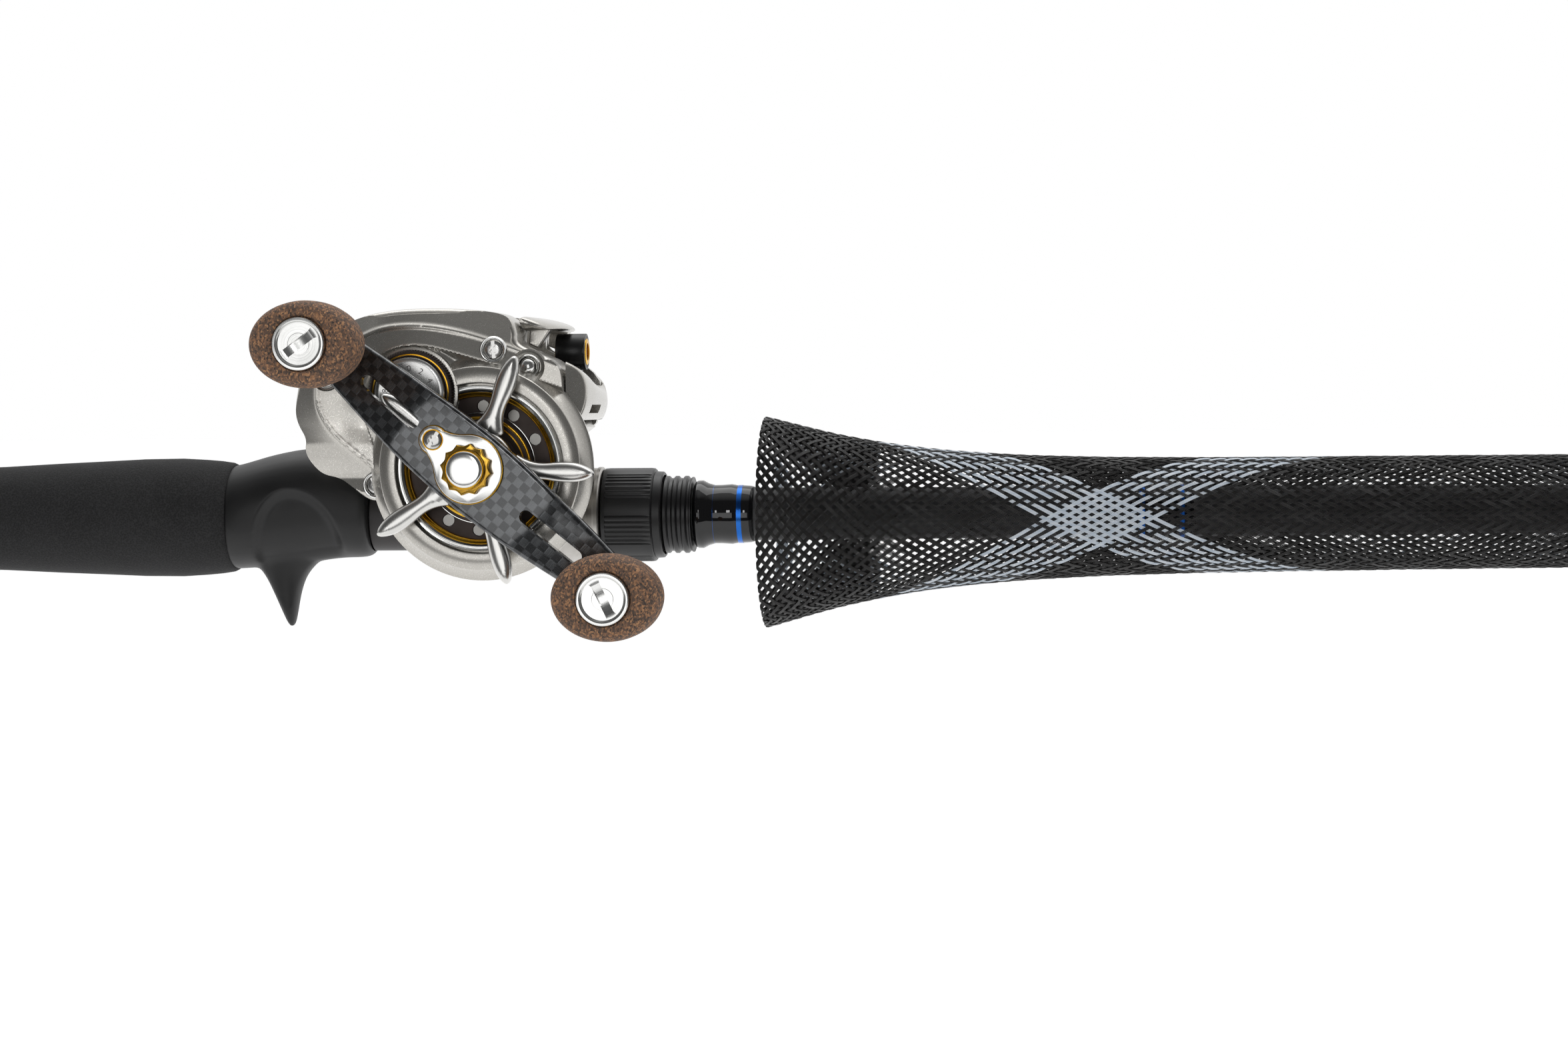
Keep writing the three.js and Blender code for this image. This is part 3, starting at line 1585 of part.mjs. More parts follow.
function makeKnobPost(side) {
  const { x, z } = knobCentre(side);
  const armFront = armOut - armSweep;
  const profile = [
    [0, armFront - armThickness - 1.4],
    [knobPostRadius + 1.4, armFront - armThickness - 1.4],
    [knobPostRadius + 1.4, armFront - armThickness - seatGap],
    [knobPostRadius, armFront - armThickness - seatGap],
    [knobPostRadius, knobOut - 2 - seatGap],
    [0, knobOut - 2 - seatGap],
  ];
  return revolveOut(profile, x, z, 14);
}

// ---------- Level wind ----------

function makeWormShaft() {
  return disc(wormRadius, -wallOut, gearOut + 0.4, wormX, wormZ, 12);
}

function wormGearRoom() {
  const radius = gearModule * (wormTeeth / 2 + 1) + 2 * runningGap;
  return disc(radius, wallOut - 1, gearOut + 0.6, wormX, wormZ, 18);
}

function makeWormGear() {
  const toDrive = THREE.MathUtils.degToRad(wormDirection + 180);
  const phase = toDrive + driveToothOffset(wormDirection) * (driveTeeth / wormTeeth);
  const shape = gearShape(wormTeeth, 0.8 * gearModule, 1.05 * gearModule, phase + Math.PI / wormTeeth);
  shape.holes.push(circle(0, 0, wormRadius + 0.1));
  return plate(shape, gearIn, gearOut, 0, 6).translate(wormX, 0, wormZ);
}

// How far the drive gear's nearest tooth stands past a direction, in radians.
function driveToothOffset(direction) {
  const pitchTurn = (2 * Math.PI) / driveTeeth;
  const fromTooth = THREE.MathUtils.degToRad(direction - driveDirection - 180);
  return fromTooth - Math.round(fromTooth / pitchTurn) * pitchTurn;
}

// The fork that draws the pinion out of the spool when the thumb bar is pressed.
function makeClutchYoke() {
  const inner = pinionHubRadius + runningGap;
  const from = pinionHubStart + 0.4;
  const wing = plate(rectangle(inner + 0.4, inner + 5, -1.6, 1.6), from, from + 1);
  const wings = [wing.clone(), wing.rotateY(Math.PI)].map((side) => side.translate(spoolX, 0, spoolZ));
  return join(ring(inner, inner + 1.8, from, from + 1, spoolX, spoolZ, 18), ...wings);
}

function makeGuideRail() {
  return disc(railRadius, -halfInside + seatGap, halfInside - seatGap, wormX, wormZ + railRise, 8);
}

function makeLineGuide() {
  const barrelZ = wormZ + guideRise;
  const half = guideBarrelLength / 2;
  const bore = guideBarrelRadius - 1.6;
  const barrel = tubeAlongX(bore, guideBarrelRadius, -half, half, 20).translate(wormX, 0, barrelZ);
  const stem = plate(
    rectangle(wormX - 2.2, wormX + 2.2, wormZ - 1, barrelZ - guideBarrelRadius + 1),
    -3,
    3,
  );
  const collar = ring(wormRadius + runningGap, wormRadius + 1.6, -4, 4, wormX, wormZ, 16);
  const rail = disc(railRadius + runningGap, -6, 6, wormX, wormZ + railRise, 10);
  const wormRoom = disc(wormRadius + runningGap, -6, 6, wormX, wormZ, 16);
  return cut(join(barrel, stem, collar), wormRoom, rail);
}

function makeLineGuideRing() {
  const barrelZ = wormZ + guideRise;
  const end = guideBarrelLength / 2 + 0.3;
  const outer = guideBarrelRadius - 1.6 - boreGap;
  return tubeAlongX(outer - 0.95, outer, -end, end, 18).translate(wormX, 0, barrelZ);
}

// ---------- Assembly ----------

const finishes = {
  carbonBlank: { color: 0x2b2c2e, roughness: 0.45, metalness: 0.1 },
  foam: { color: 0x1d1d1e, roughness: 0.95, metalness: 0 },
  softBlack: { color: 0x232325, roughness: 0.6, metalness: 0 },
  darkTube: { color: 0x3b3a3b, roughness: 0.4, metalness: 0.2 },
  stainless: { color: 0xc8c6c2, roughness: 0.2, metalness: 1 },
  gloss: { color: 0x0c0c0d, roughness: 0.08, metalness: 0 },
  blue: { color: 0x2d5fa8, roughness: 0.2, metalness: 0.8 },
  braid: { color: 0x2a2a2b, roughness: 0.6, metalness: 0 },
  silverPaint: { color: 0xa8a49a, roughness: 0.35, metalness: 0.8 },
  brightSilver: { color: 0xd8d8d6, roughness: 0.2, metalness: 1 },
  darkMetal: { color: 0x4a4443, roughness: 0.4, metalness: 0.8 },
  gold: { color: 0xd8a23a, roughness: 0.2, metalness: 1 },
  steel: { color: 0xb8b8b8, roughness: 0.3, metalness: 1 },
  brassGear: { color: 0xb8954a, roughness: 0.35, metalness: 1 },
  carbonWeave: { color: 0x333436, roughness: 0.25, metalness: 0.2 },
  cork: { color: 0x8a6440, roughness: 0.9, metalness: 0 },
  blackPlastic: { color: 0x161617, roughness: 0.4, metalness: 0 },
  ceramic: { color: 0x3a3a3c, roughness: 0.15, metalness: 0 },
};

const rodAndReel = new THREE.Group();

function place(name, shape, finish) {
  const geometry = shape.isBufferGeometry ? shape : geometryOf(shape);
  const mesh = new THREE.Mesh(geometry, new THREE.MeshStandardMaterial(finishes[finish]));
  mesh.name = name;
  rodAndReel.add(mesh);
}

place("blank", makeBlank(), "carbonBlank");
place("rear_grip", makeRearGrip(), "foam");
place("butt_cap", makeButtCap(), "blackPlastic");
place("front_winding", makeFrontWinding(), "gloss");
place("trim_ring", makeTrimRing(), "blue");
place("trigger_body", makeTriggerBody(), "softBlack");
place("seat_tube", makeSeatTube(), "darkTube");
place("seat_hood", makeSeatHood(), "stainless");
place("locking_nut", makeLockingNut(), "blackPlastic");
for (let number = 1; number <= guideCount; number += 1) {
  place(`line_guide_${number}`, makeGuide(number), "steel");
}
place("tip_top", makeTipTop(), "steel");
place("sleeve", makeSleeve(), "braid");

place("reel_frame", makeReelFrame(), "silverPaint");
place("gear_cover", makeGearCover(), "silverPaint");
place("perforated_plate", makePerforatedPlate(), "darkMetal");
place("outer_trim_ring", makeOuterTrim(), "gold");
place("inner_trim_ring", makeInnerTrim(), "gold");
coverScrews().forEach((screw, index) => place(`cover_screw_${index + 1}`, makeScrew(screw), "brightSilver"));
place("cover_pin", makeCoverPin(), "brightSilver");
place("palm_cover", makePalmCover(), "silverPaint");
place("brake_dial", makeBrakeDial(), "darkMetal");
place("thumb_rest", makeThumbRest(), "silverPaint");
place("front_cover", makeFrontCover(), "silverPaint");
place("thumb_bar", makeThumbBar(), "blackPlastic");
place("tension_knob", makeTensionKnob(), "brightSilver");

place("spool", makeSpool(), "brightSilver");
place("spool_shaft", makeSpoolShaft(), "steel");
place("gear_side_bearing", makeSpoolBearing(halfInside), "steel");
place("palm_side_bearing", makeSpoolBearing(-coverIn - 4), "steel");
place("pinion", makePinion(), "brassGear");
place("drive_gear", makeDriveGear(), "brassGear");
place("drag_washers", makeDragWashers(), "darkMetal");
place("drive_shaft", makeDriveShaft(), "steel");
place("star_drag", makeStarDrag(), "brightSilver");

place("handle_arm", makeHandleArm(), "carbonWeave");
place("nut_retainer", makeRetainer(), "brightSilver");
place("retainer_screw", makeRetainerScrew(), "steel");
place("handle_nut", makeHandleNut(), "gold");
for (const [name, side] of [["rear", 1], ["front", -1]]) {
  place(`${name}_knob`, makeKnob(side), "cork");
  place(`${name}_knob_cap`, makeKnobCap(side), "brightSilver");
  place(`${name}_knob_post`, makeKnobPost(side), "steel");
}

place("clutch_yoke", makeClutchYoke(), "steel");
place("worm_shaft", makeWormShaft(), "steel");
place("worm_gear", makeWormGear(), "blackPlastic");
place("guide_rail", makeGuideRail(), "steel");
place("line_guide", makeLineGuide(), "blackPlastic");
place("line_guide_ring", makeLineGuideRing(), "gold");

export default rodAndReel;
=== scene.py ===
from math import asin, atan2, cos, exp, hypot, pi, radians, sin, sqrt, tan

import bmesh
import bpy
import numpy as np
from mathutils import Matrix, Vector


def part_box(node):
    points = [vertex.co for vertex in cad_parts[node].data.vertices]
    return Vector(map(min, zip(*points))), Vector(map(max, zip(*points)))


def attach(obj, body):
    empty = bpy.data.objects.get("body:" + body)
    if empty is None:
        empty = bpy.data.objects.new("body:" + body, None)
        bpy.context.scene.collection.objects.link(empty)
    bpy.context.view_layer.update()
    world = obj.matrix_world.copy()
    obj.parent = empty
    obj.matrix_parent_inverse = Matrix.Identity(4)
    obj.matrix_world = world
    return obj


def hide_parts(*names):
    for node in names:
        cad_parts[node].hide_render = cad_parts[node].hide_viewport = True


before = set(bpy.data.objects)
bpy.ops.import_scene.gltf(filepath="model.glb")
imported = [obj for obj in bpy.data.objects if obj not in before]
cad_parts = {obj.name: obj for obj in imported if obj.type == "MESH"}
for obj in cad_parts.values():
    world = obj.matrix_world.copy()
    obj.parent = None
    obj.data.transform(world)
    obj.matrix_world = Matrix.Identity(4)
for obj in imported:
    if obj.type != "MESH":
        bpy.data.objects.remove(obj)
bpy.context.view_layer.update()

# Lengths are millimetres. x runs from the butt to the tip and z is up. "out" is the distance
# from the reel's middle plane towards the handle, so a point at out 20 lies at y = -20.
mm = 0.001


cameraView = {
    "place": (211.3, -850.0, 27.7),
    "yaw": -5.718,  # degrees, turned towards the rod tip when positive
    "pitch": -2.006,
    "roll": -0.539,
    "lens": 77.63,
}


def addCamera():
    yaw, pitch, roll = (radians(cameraView[key]) for key in ("yaw", "pitch", "roll"))
    level = Vector((sin(yaw), cos(yaw), 0))
    across = Vector((cos(yaw), -sin(yaw), 0))
    up = Vector((0, 0, 1))
    ahead = cos(pitch) * level + sin(pitch) * up
    above = cos(pitch) * up - sin(pitch) * level
    right = cos(roll) * across + sin(roll) * above
    top = cos(roll) * above - sin(roll) * across
    turn = Matrix((right, top, -ahead)).transposed().to_4x4()
    data = bpy.data.cameras.new("camera")
    data.lens = cameraView["lens"]
    data.clip_start = 0.02
    camera = bpy.data.objects.new("camera", data)
    bpy.context.scene.collection.objects.link(camera)
    camera.matrix_world = Matrix.Translation(Vector(cameraView["place"]) * mm) @ turn
    bpy.context.scene.camera = camera


addCamera()
print("camera set")


def linear(code):
    # sRGB hex to the linear values that a shader takes
    parts = [int(code[i : i + 2], 16) / 255 for i in (1, 3, 5)]
    return [c / 12.92 if c <= 0.04045 else ((c + 0.055) / 1.055) ** 2.4 for c in parts] + [1]


def addNode(tree, kind, inputs=None, **settings):
    # one node with its settings, its values and its links
    node = tree.nodes.new(kind)
    for key, value in settings.items():
        setattr(node, key, value)
    for socket, value in (inputs or {}).items():
        if isinstance(value, bpy.types.NodeSocket):
            tree.links.new(value, node.inputs[socket])
        else:
            node.inputs[socket].default_value = value
    return node


def newFinish(name, **surface):
    # a material whose plain values sit on the shader's own sockets
    material = bpy.data.materials.new(name)
    material.use_nodes = True
    shader = material.node_tree.nodes["Principled BSDF"]
    for socket, value in surface.items():
        shader.inputs[socket.replace("_", " ")].default_value = value
    return material, material.node_tree, shader


def space(tree, size, centre=(0, 0, 0), turn=(0, 0, 0)):
    # object coordinates in units of "size" millimetres along each axis, about "centre"
    place = addNode(tree, "ShaderNodeTexCoord").outputs["Object"]
    mapping = addNode(
        tree,
        "ShaderNodeMapping",
        {
            "Vector": place,
            "Location": [c * mm for c in centre],
            "Rotation": turn,
            "Scale": [s * mm for s in size],
        },
        vector_type="TEXTURE",
    )
    return mapping.outputs["Vector"]


def noise(tree, vector, scale=1.0, detail=3.0, rough=0.55):
    values = {"Vector": vector, "Scale": scale, "Detail": detail, "Roughness": rough}
    return addNode(tree, "ShaderNodeTexNoise", values).outputs["Fac"]


def ramp(tree, factor, stops):
    # stops are (place, hex colour) pairs
    node = addNode(tree, "ShaderNodeValToRGB", {"Fac": factor})
    scale = node.color_ramp
    while len(scale.elements) < len(stops):
        scale.elements.new(0.5)
    for element, (place, code) in zip(scale.elements, stops):
        element.position = place
        element.color = linear(code)
    return node.outputs["Color"]


def spread(tree, factor, low, high, fromLow=0.25, fromHigh=0.75):
    # a pattern's middle range turned to values between low and high
    values = {
        "Value": factor,
        "From Min": fromLow,
        "From Max": fromHigh,
        "To Min": low,
        "To Max": high,
    }
    return addNode(tree, "ShaderNodeMapRange", values).outputs["Result"]


def bump(tree, shader, height, depth, strength=1.0, after=None):
    # raised detail: depth is how tall it is, in millimetres
    values = {"Height": height, "Distance": depth * mm, "Strength": strength}
    if after:
        values["Normal"] = after
    node = addNode(tree, "ShaderNodeBump", values)
    tree.links.new(node.outputs["Normal"], shader.inputs["Normal"])
    return node.outputs["Normal"]


def math(tree, operation, first, second=0.0):
    node = addNode(tree, "ShaderNodeMath", operation=operation)
    for socket, value in zip(node.inputs, (first, second)):
        if isinstance(value, bpy.types.NodeSocket):
            tree.links.new(value, socket)
        else:
            socket.default_value = value
    return node.outputs[0]


def vectorMath(tree, operation, first, second):
    return addNode(tree, "ShaderNodeVectorMath", {0: first, 1: second}, operation=operation)


def firstPart(tree, colour):
    # one random number from a pattern's cell colours
    return addNode(tree, "ShaderNodeSeparateColor", {"Color": colour}).outputs["Red"]


def sandedFoam():
    # EVA foam, turned and sanded: dull black with open cells 0.4 mm across
    material, tree, shader = newFinish("evaFoamSanded", Roughness=0.85)
    pattern = {"Vector": space(tree, (0.42,) * 3), "Scale": 1.0}
    cells = addNode(tree, "ShaderNodeTexVoronoi", pattern).outputs["Distance"]
    patches = noise(tree, space(tree, (9, 9, 9)), detail=4)
    tone = math(tree, "ADD", math(tree, "MULTIPLY", cells, 0.7), math(tree, "MULTIPLY", patches, 0.4))
    tint = ramp(tree, tone, [(0.25, "#0f0f10"), (0.8, "#2a2a2b")])
    tree.links.new(tint, shader.inputs["Base Color"])
    bump(tree, shader, cells, 0.13, 0.6)
    return material


def mouldedNylon(name, dark, light, rough, grain=0.5, depth=0.012):
    # moulded plastic: satin, with the fine spark texture of the mould and slightly handled patches
    material, tree, shader = newFinish(name, Roughness=rough)
    shader.inputs["Specular IOR Level"].default_value = 0.45
    patches = noise(tree, space(tree, (14, 14, 14)), detail=3)
    tree.links.new(ramp(tree, patches, [(0.3, dark), (0.7, light)]), shader.inputs["Base Color"])
    tree.links.new(spread(tree, patches, rough - 0.05, rough + 0.07), shader.inputs["Roughness"])
    bump(tree, shader, noise(tree, space(tree, (grain,) * 3), detail=2), depth, 0.7)
    return material


def turnedMetal(name, dark, light, rough, axis="x", centre=(0, 0, 0), pitch=0.16, depth=0.006):
    # turned or brushed metal: fine rings round the axis, broken up by slow changes of tone
    material, tree, shader = newFinish(name, Metallic=1.0, Roughness=rough)
    if axis == "x":
        lines = noise(tree, space(tree, (pitch, 60, 60), centre), detail=2)
    else:
        flat = {0: space(tree, (pitch, 1e6, pitch), centre)}
        place = addNode(tree, "ShaderNodeVectorMath", flat, operation="LENGTH").outputs["Value"]
        apart = addNode(tree, "ShaderNodeCombineXYZ", {"X": place}).outputs["Vector"]
        lines = noise(tree, apart, detail=2)
    patches = noise(tree, space(tree, (7, 7, 7)), detail=3)
    tree.links.new(ramp(tree, patches, [(0.3, dark), (0.7, light)]), shader.inputs["Base Color"])
    tree.links.new(spread(tree, lines, rough - 0.05, rough + 0.08), shader.inputs["Roughness"])
    bump(tree, shader, lines, depth, 0.6)
    return material


def polishedMetal(name, dark, light, rough, grit=0.4, depth=0.002):
    # cast or stamped metal, tumbled and polished: bright, with soft waves and tiny pits
    material, tree, shader = newFinish(name, Metallic=1.0, Roughness=rough)
    patches = noise(tree, space(tree, (9, 9, 9)), detail=2)
    tree.links.new(ramp(tree, patches, [(0.3, dark), (0.7, light)]), shader.inputs["Base Color"])
    tree.links.new(spread(tree, patches, rough - 0.02, rough + 0.04), shader.inputs["Roughness"])
    bump(tree, shader, noise(tree, space(tree, (grit,) * 3), detail=1), depth, 0.4)
    return material


def metallicPaint():
    # warm silver metallic paint over moulded graphite: fine bright flakes under a satin clear coat
    material, tree, shader = newFinish("silverFlakePaint", Metallic=0.9, Roughness=0.28)
    shader.inputs["Coat Weight"].default_value = 0.3
    shader.inputs["Coat Roughness"].default_value = 0.12
    flakes = addNode(tree, "ShaderNodeTexVoronoi", {"Vector": space(tree, (0.17,) * 3), "Scale": 1.0})
    sparkle = firstPart(tree, flakes.outputs["Color"])
    tint = ramp(tree, sparkle, [(0.0, "#b6b3ad"), (0.9, "#bebbb5"), (1.0, "#d2d0ca")])
    tree.links.new(tint, shader.inputs["Base Color"])
    tree.links.new(spread(tree, sparkle, 0.31, 0.27, 0.0, 1.0), shader.inputs["Roughness"])
    first = bump(tree, shader, sparkle, 0.003, 0.1)
    bump(tree, shader, noise(tree, space(tree, (1.6,) * 3), detail=1), 0.006, 0.2, first)
    return material


def anodised(name, dark, light, rough, centre=(0, 0, 0)):
    # anodised aluminium: even colour over fine turning rings
    return turnedMetal(name, dark, light, rough, "out", centre, 0.12, 0.004)


def carbonPlate(centre, turn):
    # 2 mm tows of carbon fibre in a square weave, cut along the handle, under a clear coat:
    # each square takes the light along its own fibres, and this sheen is painted: every other square's colour
    # is lighter
    material, tree, shader = newFinish("carbonSquareWeave", Roughness=0.25, Metallic=0.75)
    shader.inputs["Coat Weight"].default_value = 0.9
    shader.inputs["Coat Roughness"].default_value = 0.1
    squares = space(tree, (2.05, 2.05, 2.05), centre, (0, turn, 0))
    split = addNode(tree, "ShaderNodeSeparateXYZ", {"Vector": squares})
    across, up = split.outputs["X"], split.outputs["Z"]
    steps = math(tree, "ADD", math(tree, "FLOOR", across), math(tree, "FLOOR", up))
    over = math(tree, "PINGPONG", steps, 1.0)
    alongFibres = space(tree, (3.0, 3.0, 0.11), centre, (0, turn, 0))
    acrossFibres = space(tree, (0.11, 3.0, 3.0), centre, (0, turn, 0))
    fibres = addNode(
        tree,
        "ShaderNodeMix",
        {"Factor": over, "A": noise(tree, alongFibres), "B": noise(tree, acrossFibres)},
        data_type="FLOAT",
    ).outputs["Result"]
    # painted sheen: every other square is made lighter, over the fibres' own streaks of tone
    tone = math(tree, "ADD", math(tree, "MULTIPLY", over, 0.42), math(tree, "MULTIPLY", fibres, 0.5))
    tint = ramp(tree, tone, [(0.1, "#242526"), (0.5, "#3f4143"), (0.9, "#606264")])
    tree.links.new(tint, shader.inputs["Base Color"])
    tree.links.new(spread(tree, fibres, 0.2, 0.3), shader.inputs["Roughness"])
    inX = math(tree, "PINGPONG", across, 0.5)
    inZ = math(tree, "PINGPONG", up, 0.5)
    edge = math(tree, "SMOOTH_MIN", inX, inZ)
    height = math(tree, "ADD", math(tree, "MINIMUM", edge, 0.12), math(tree, "MULTIPLY", fibres, 0.03))
    bump(tree, shader, height, 0.16, 0.5)
    return material


def corkRubber():
    # rubberised cork, ground to shape: brown and rust crumbs in a dark grey binder
    material, tree, shader = newFinish("corkRubberGround", Roughness=0.78)
    wander = noise(tree, space(tree, (1.5, 1.5, 1.5)), detail=2)
    place = space(tree, (0.36, 0.56, 0.46))
    ragged = addNode(tree, "ShaderNodeTexNoise", {"Vector": place, "Scale": 1.3, "Detail": 2.0})
    shifted = vectorMath(tree, "MULTIPLY", ragged.outputs["Color"], (1.6, 1.6, 1.6))
    torn = vectorMath(tree, "ADD", place, shifted.outputs["Vector"]).outputs["Vector"]
    crumbs = addNode(tree, "ShaderNodeTexVoronoi", {"Vector": torn, "Scale": 1.0, "Randomness": 1.0})
    pick = firstPart(tree, crumbs.outputs["Color"])
    mixed = math(tree, "ADD", math(tree, "MULTIPLY", pick, 0.8), math(tree, "MULTIPLY", wander, 0.3))
    stops = [(0.1, "#3a3532"), (0.3, "#5e4d42"), (0.5, "#876650"), (0.64, "#3f3733")]
    stops += [(0.78, "#9a7051"), (0.95, "#b88a63")]
    tree.links.new(ramp(tree, mixed, stops), shader.inputs["Base Color"])
    first = bump(tree, shader, crumbs.outputs["Distance"], 0.05, 0.5)
    bump(tree, shader, noise(tree, space(tree, (0.35,) * 3), detail=3), 0.05, 0.5, first)
    return material


def threadUnderEpoxy():
    # nylon winding thread under clear epoxy: fine black turns under a hard wet gloss
    material, tree, shader = newFinish("windingUnderEpoxy", Roughness=0.35)
    shader.inputs["Coat Weight"].default_value = 1.0
    shader.inputs["Coat Roughness"].default_value = 0.03
    shader.inputs["Specular IOR Level"].default_value = 0.0
    turns = addNode(
        tree,
        "ShaderNodeTexWave",
        {"Vector": space(tree, (1.0, 1.0, 1.0)), "Scale": 1.1, "Distortion": 0.6},
        bands_direction="X",
    ).outputs["Fac"]
    tree.links.new(ramp(tree, turns, [(0.2, "#070708"), (0.9, "#131315")]), shader.inputs["Base Color"])
    bump(tree, shader, turns, 0.02, 0.3)
    return material


def blankCoat():
    # unidirectional carbon under a sanded satin coat: dark grey with faint streaks along the rod
    material, tree, shader = newFinish("blankSatinCarbon", Roughness=0.44)
    shader.inputs["Specular IOR Level"].default_value = 0.4
    streaks = noise(tree, space(tree, (26, 0.35, 0.35)), detail=3)
    tree.links.new(ramp(tree, streaks, [(0.3, "#2a2a2c"), (0.75, "#3b3b3d")]), shader.inputs["Base Color"])
    tree.links.new(spread(tree, streaks, 0.4, 0.5), shader.inputs["Roughness"])
    bump(tree, shader, streaks, 0.008, 0.5)
    return material


def braidNylon(name, dark, light, rough):
    # drawn nylon monofilament: smooth, slightly shiny, each strand a little different in tone
    material, tree, shader = newFinish(name, Roughness=rough)
    strands = noise(tree, space(tree, (3.5, 0.6, 0.6)), detail=2)
    tree.links.new(ramp(tree, strands, [(0.3, dark), (0.7, light)]), shader.inputs["Base Color"])
    tree.links.new(spread(tree, strands, rough - 0.06, rough + 0.1), shader.inputs["Roughness"])
    return material


def middle(node):
    low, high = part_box(node)
    return [c / mm for c in (low + high) / 2]


driveX, _, driveZ = middle("drive_gear")
spoolX, _, spoolZ = middle("spool_shaft")
rearKnob, frontKnob = middle("rear_knob_post"), middle("front_knob_post")
armTurn = atan2(rearKnob[2] - driveZ, rearKnob[0] - driveX)

foam = sandedFoam()
softCoat = mouldedNylon("softCoatNylon", "#0d0d0e", "#141415", 0.46)
tubeNylon = mouldedNylon("tubeNylonFilled", "#2d2a2a", "#383535", 0.5, 0.35, 0.02)
blackNylon = mouldedNylon("blackNylonMoulded", "#0e0e0f", "#161617", 0.36)
stainless = turnedMetal("stainlessBrushed", "#a7a4a0", "#bdbab5", 0.3)
steel = polishedMetal("steelPolished", "#b5b4b2", "#cfcecc", 0.22)
bright = polishedMetal("aluminiumPolished", "#d6d6d4", "#e3e3e1", 0.16)
silver = metallicPaint()
gold = polishedMetal("goldAnodised", "#c08a1e", "#e3b440", 0.2)
brass = turnedMetal("brassCut", "#9c7a35", "#b8924a", 0.3, "out", (driveX, 0, driveZ))
darkPlate = anodised("darkAnodised", "#37312f", "#463f3c", 0.42, (driveX, 0, driveZ))
dragFibre = mouldedNylon("dragWasherFibre", "#2a2522", "#3a332e", 0.7)
blue = polishedMetal("blueAnodised", "#1d4f9e", "#2f6fc4", 0.22)
epoxy = threadUnderEpoxy()
carbon = carbonPlate((driveX, 0, driveZ), -armTurn)
cork = corkRubber()
blankFinish = blankCoat()
blackStrand = braidNylon("nylonStrandBlack", "#0d0c0c", "#1d1b1a", 0.3)
whiteStrand = braidNylon("nylonStrandWhite", "#c9d6e4", "#eef3f8", 0.34)
spoolMetal = turnedMetal("spoolAluminium", "#b9b9b8", "#d2d2d0", 0.22, "out", (spoolX, 0, spoolZ))
satinPin = polishedMetal("steelPinSatin", "#a3a19d", "#b3b1ad", 0.42)
dialMetal = ("aluminiumDialTurned", "#cfcfce", "#e0e0de", 0.24)
knobFace = turnedMetal(*dialMetal, "out", (spoolX, 0, spoolZ), 0.14, 0.005)
engraving = mouldedNylon("engravingInfill", "#5b5a58", "#6b6a68", 0.5)
cast = polishedMetal("zincCastPolished", "#c9c8c5", "#dad9d6", 0.24, 0.3, 0.006)
nutGold = polishedMetal("brassDarkAnodised", "#8a6a2a", "#c49a3c", 0.16)
print("finishes made")


def lathe(profile, axis="x", centre=(0, 0), steps=72):
    # (radius, reach) points spun round the rod's axis, or round an axis that points out of the reel
    shape = bmesh.new()
    points = []
    for radius, reach in profile:
        place = (reach, 0, radius) if axis == "x" else (radius, -reach, 0)
        points.append(shape.verts.new(place))
    for first, second in zip(points, points[1:]):
        shape.edges.new((first, second))
    around = (1, 0, 0) if axis == "x" else (0, 1, 0)
    geometry = shape.verts[:] + shape.edges[:]
    bmesh.ops.spin(
        shape, geom=geometry, cent=(0, 0, 0), axis=around, angle=2 * pi, steps=steps, use_merge=True
    )
    bmesh.ops.remove_doubles(shape, verts=shape.verts[:], dist=0.0004)
    bmesh.ops.recalc_face_normals(shape, faces=shape.faces[:])
    offset = (0, centre[0], centre[1]) if axis == "x" else (centre[0], 0, centre[1])
    moved(shape, offset)
    return shape


def onDrive(profile, steps=96):
    return lathe(profile, "out", (driveX, driveZ), steps)


def onSpool(profile, steps=96):
    return lathe(profile, "out", (spoolX, spoolZ), steps)


def disc(radius, back, front, x, z, steps=48):
    return lathe([(0, back), (radius, back), (radius, front), (0, front)], "out", (x, z), steps)


def closed(points):
    # a section that comes back to its first point
    return points + points[:1]


def moved(shape, by):
    bmesh.ops.translate(shape, verts=shape.verts[:], vec=by)
    return shape


def curved(points, rounds=3):
    # corners cut again and again until the closed outline is smooth
    for _ in range(rounds):
        finer = []
        for first, second in zip(points, points[1:] + points[:1]):
            for share in (0.25, 0.75):
                finer.append([a + share * (b - a) for a, b in zip(first, second)])
        points = finer
    return points


def openCurve(points, rounds=3):
    # an open line with its corners cut until it is smooth
    for _ in range(rounds):
        finer = [points[0]]
        for first, second in zip(points, points[1:]):
            for share in (0.25, 0.75):
                finer.append(tuple(a + share * (b - a) for a, b in zip(first, second)))
        points = finer + [points[-1]]
    return points


def fromSpool(points):
    return [[spoolX + ahead, spoolZ + up] for ahead, up in points]


def plate(outline, back, front, edge=0.0, segments=3, backEdge=0.0):
    # a flat outline in x and z, given thickness from "back" to "front" and softened edges
    shape = bmesh.new()
    face = shape.faces.new([shape.verts.new((x, -back, z)) for x, z in outline])
    grown = bmesh.ops.extrude_face_region(shape, geom=[face])
    top = {v for v in grown["geom"] if isinstance(v, bmesh.types.BMVert)}
    bmesh.ops.translate(shape, verts=list(top), vec=(0, back - front, 0))
    bmesh.ops.recalc_face_normals(shape, faces=shape.faces[:])
    for width, ends in ((edge, True), (backEdge, False)):
        if width:
            rim = [e for e in shape.edges if all((v in top) == ends and v.is_valid for v in e.verts)]
            bmesh.ops.bevel(
                shape,
                geom=rim,
                offset=width,
                offset_type="OFFSET",
                segments=segments,
                profile=0.5,
                affect="EDGES",
                material=-1,
                clamp_overlap=True,
            )
    return shape


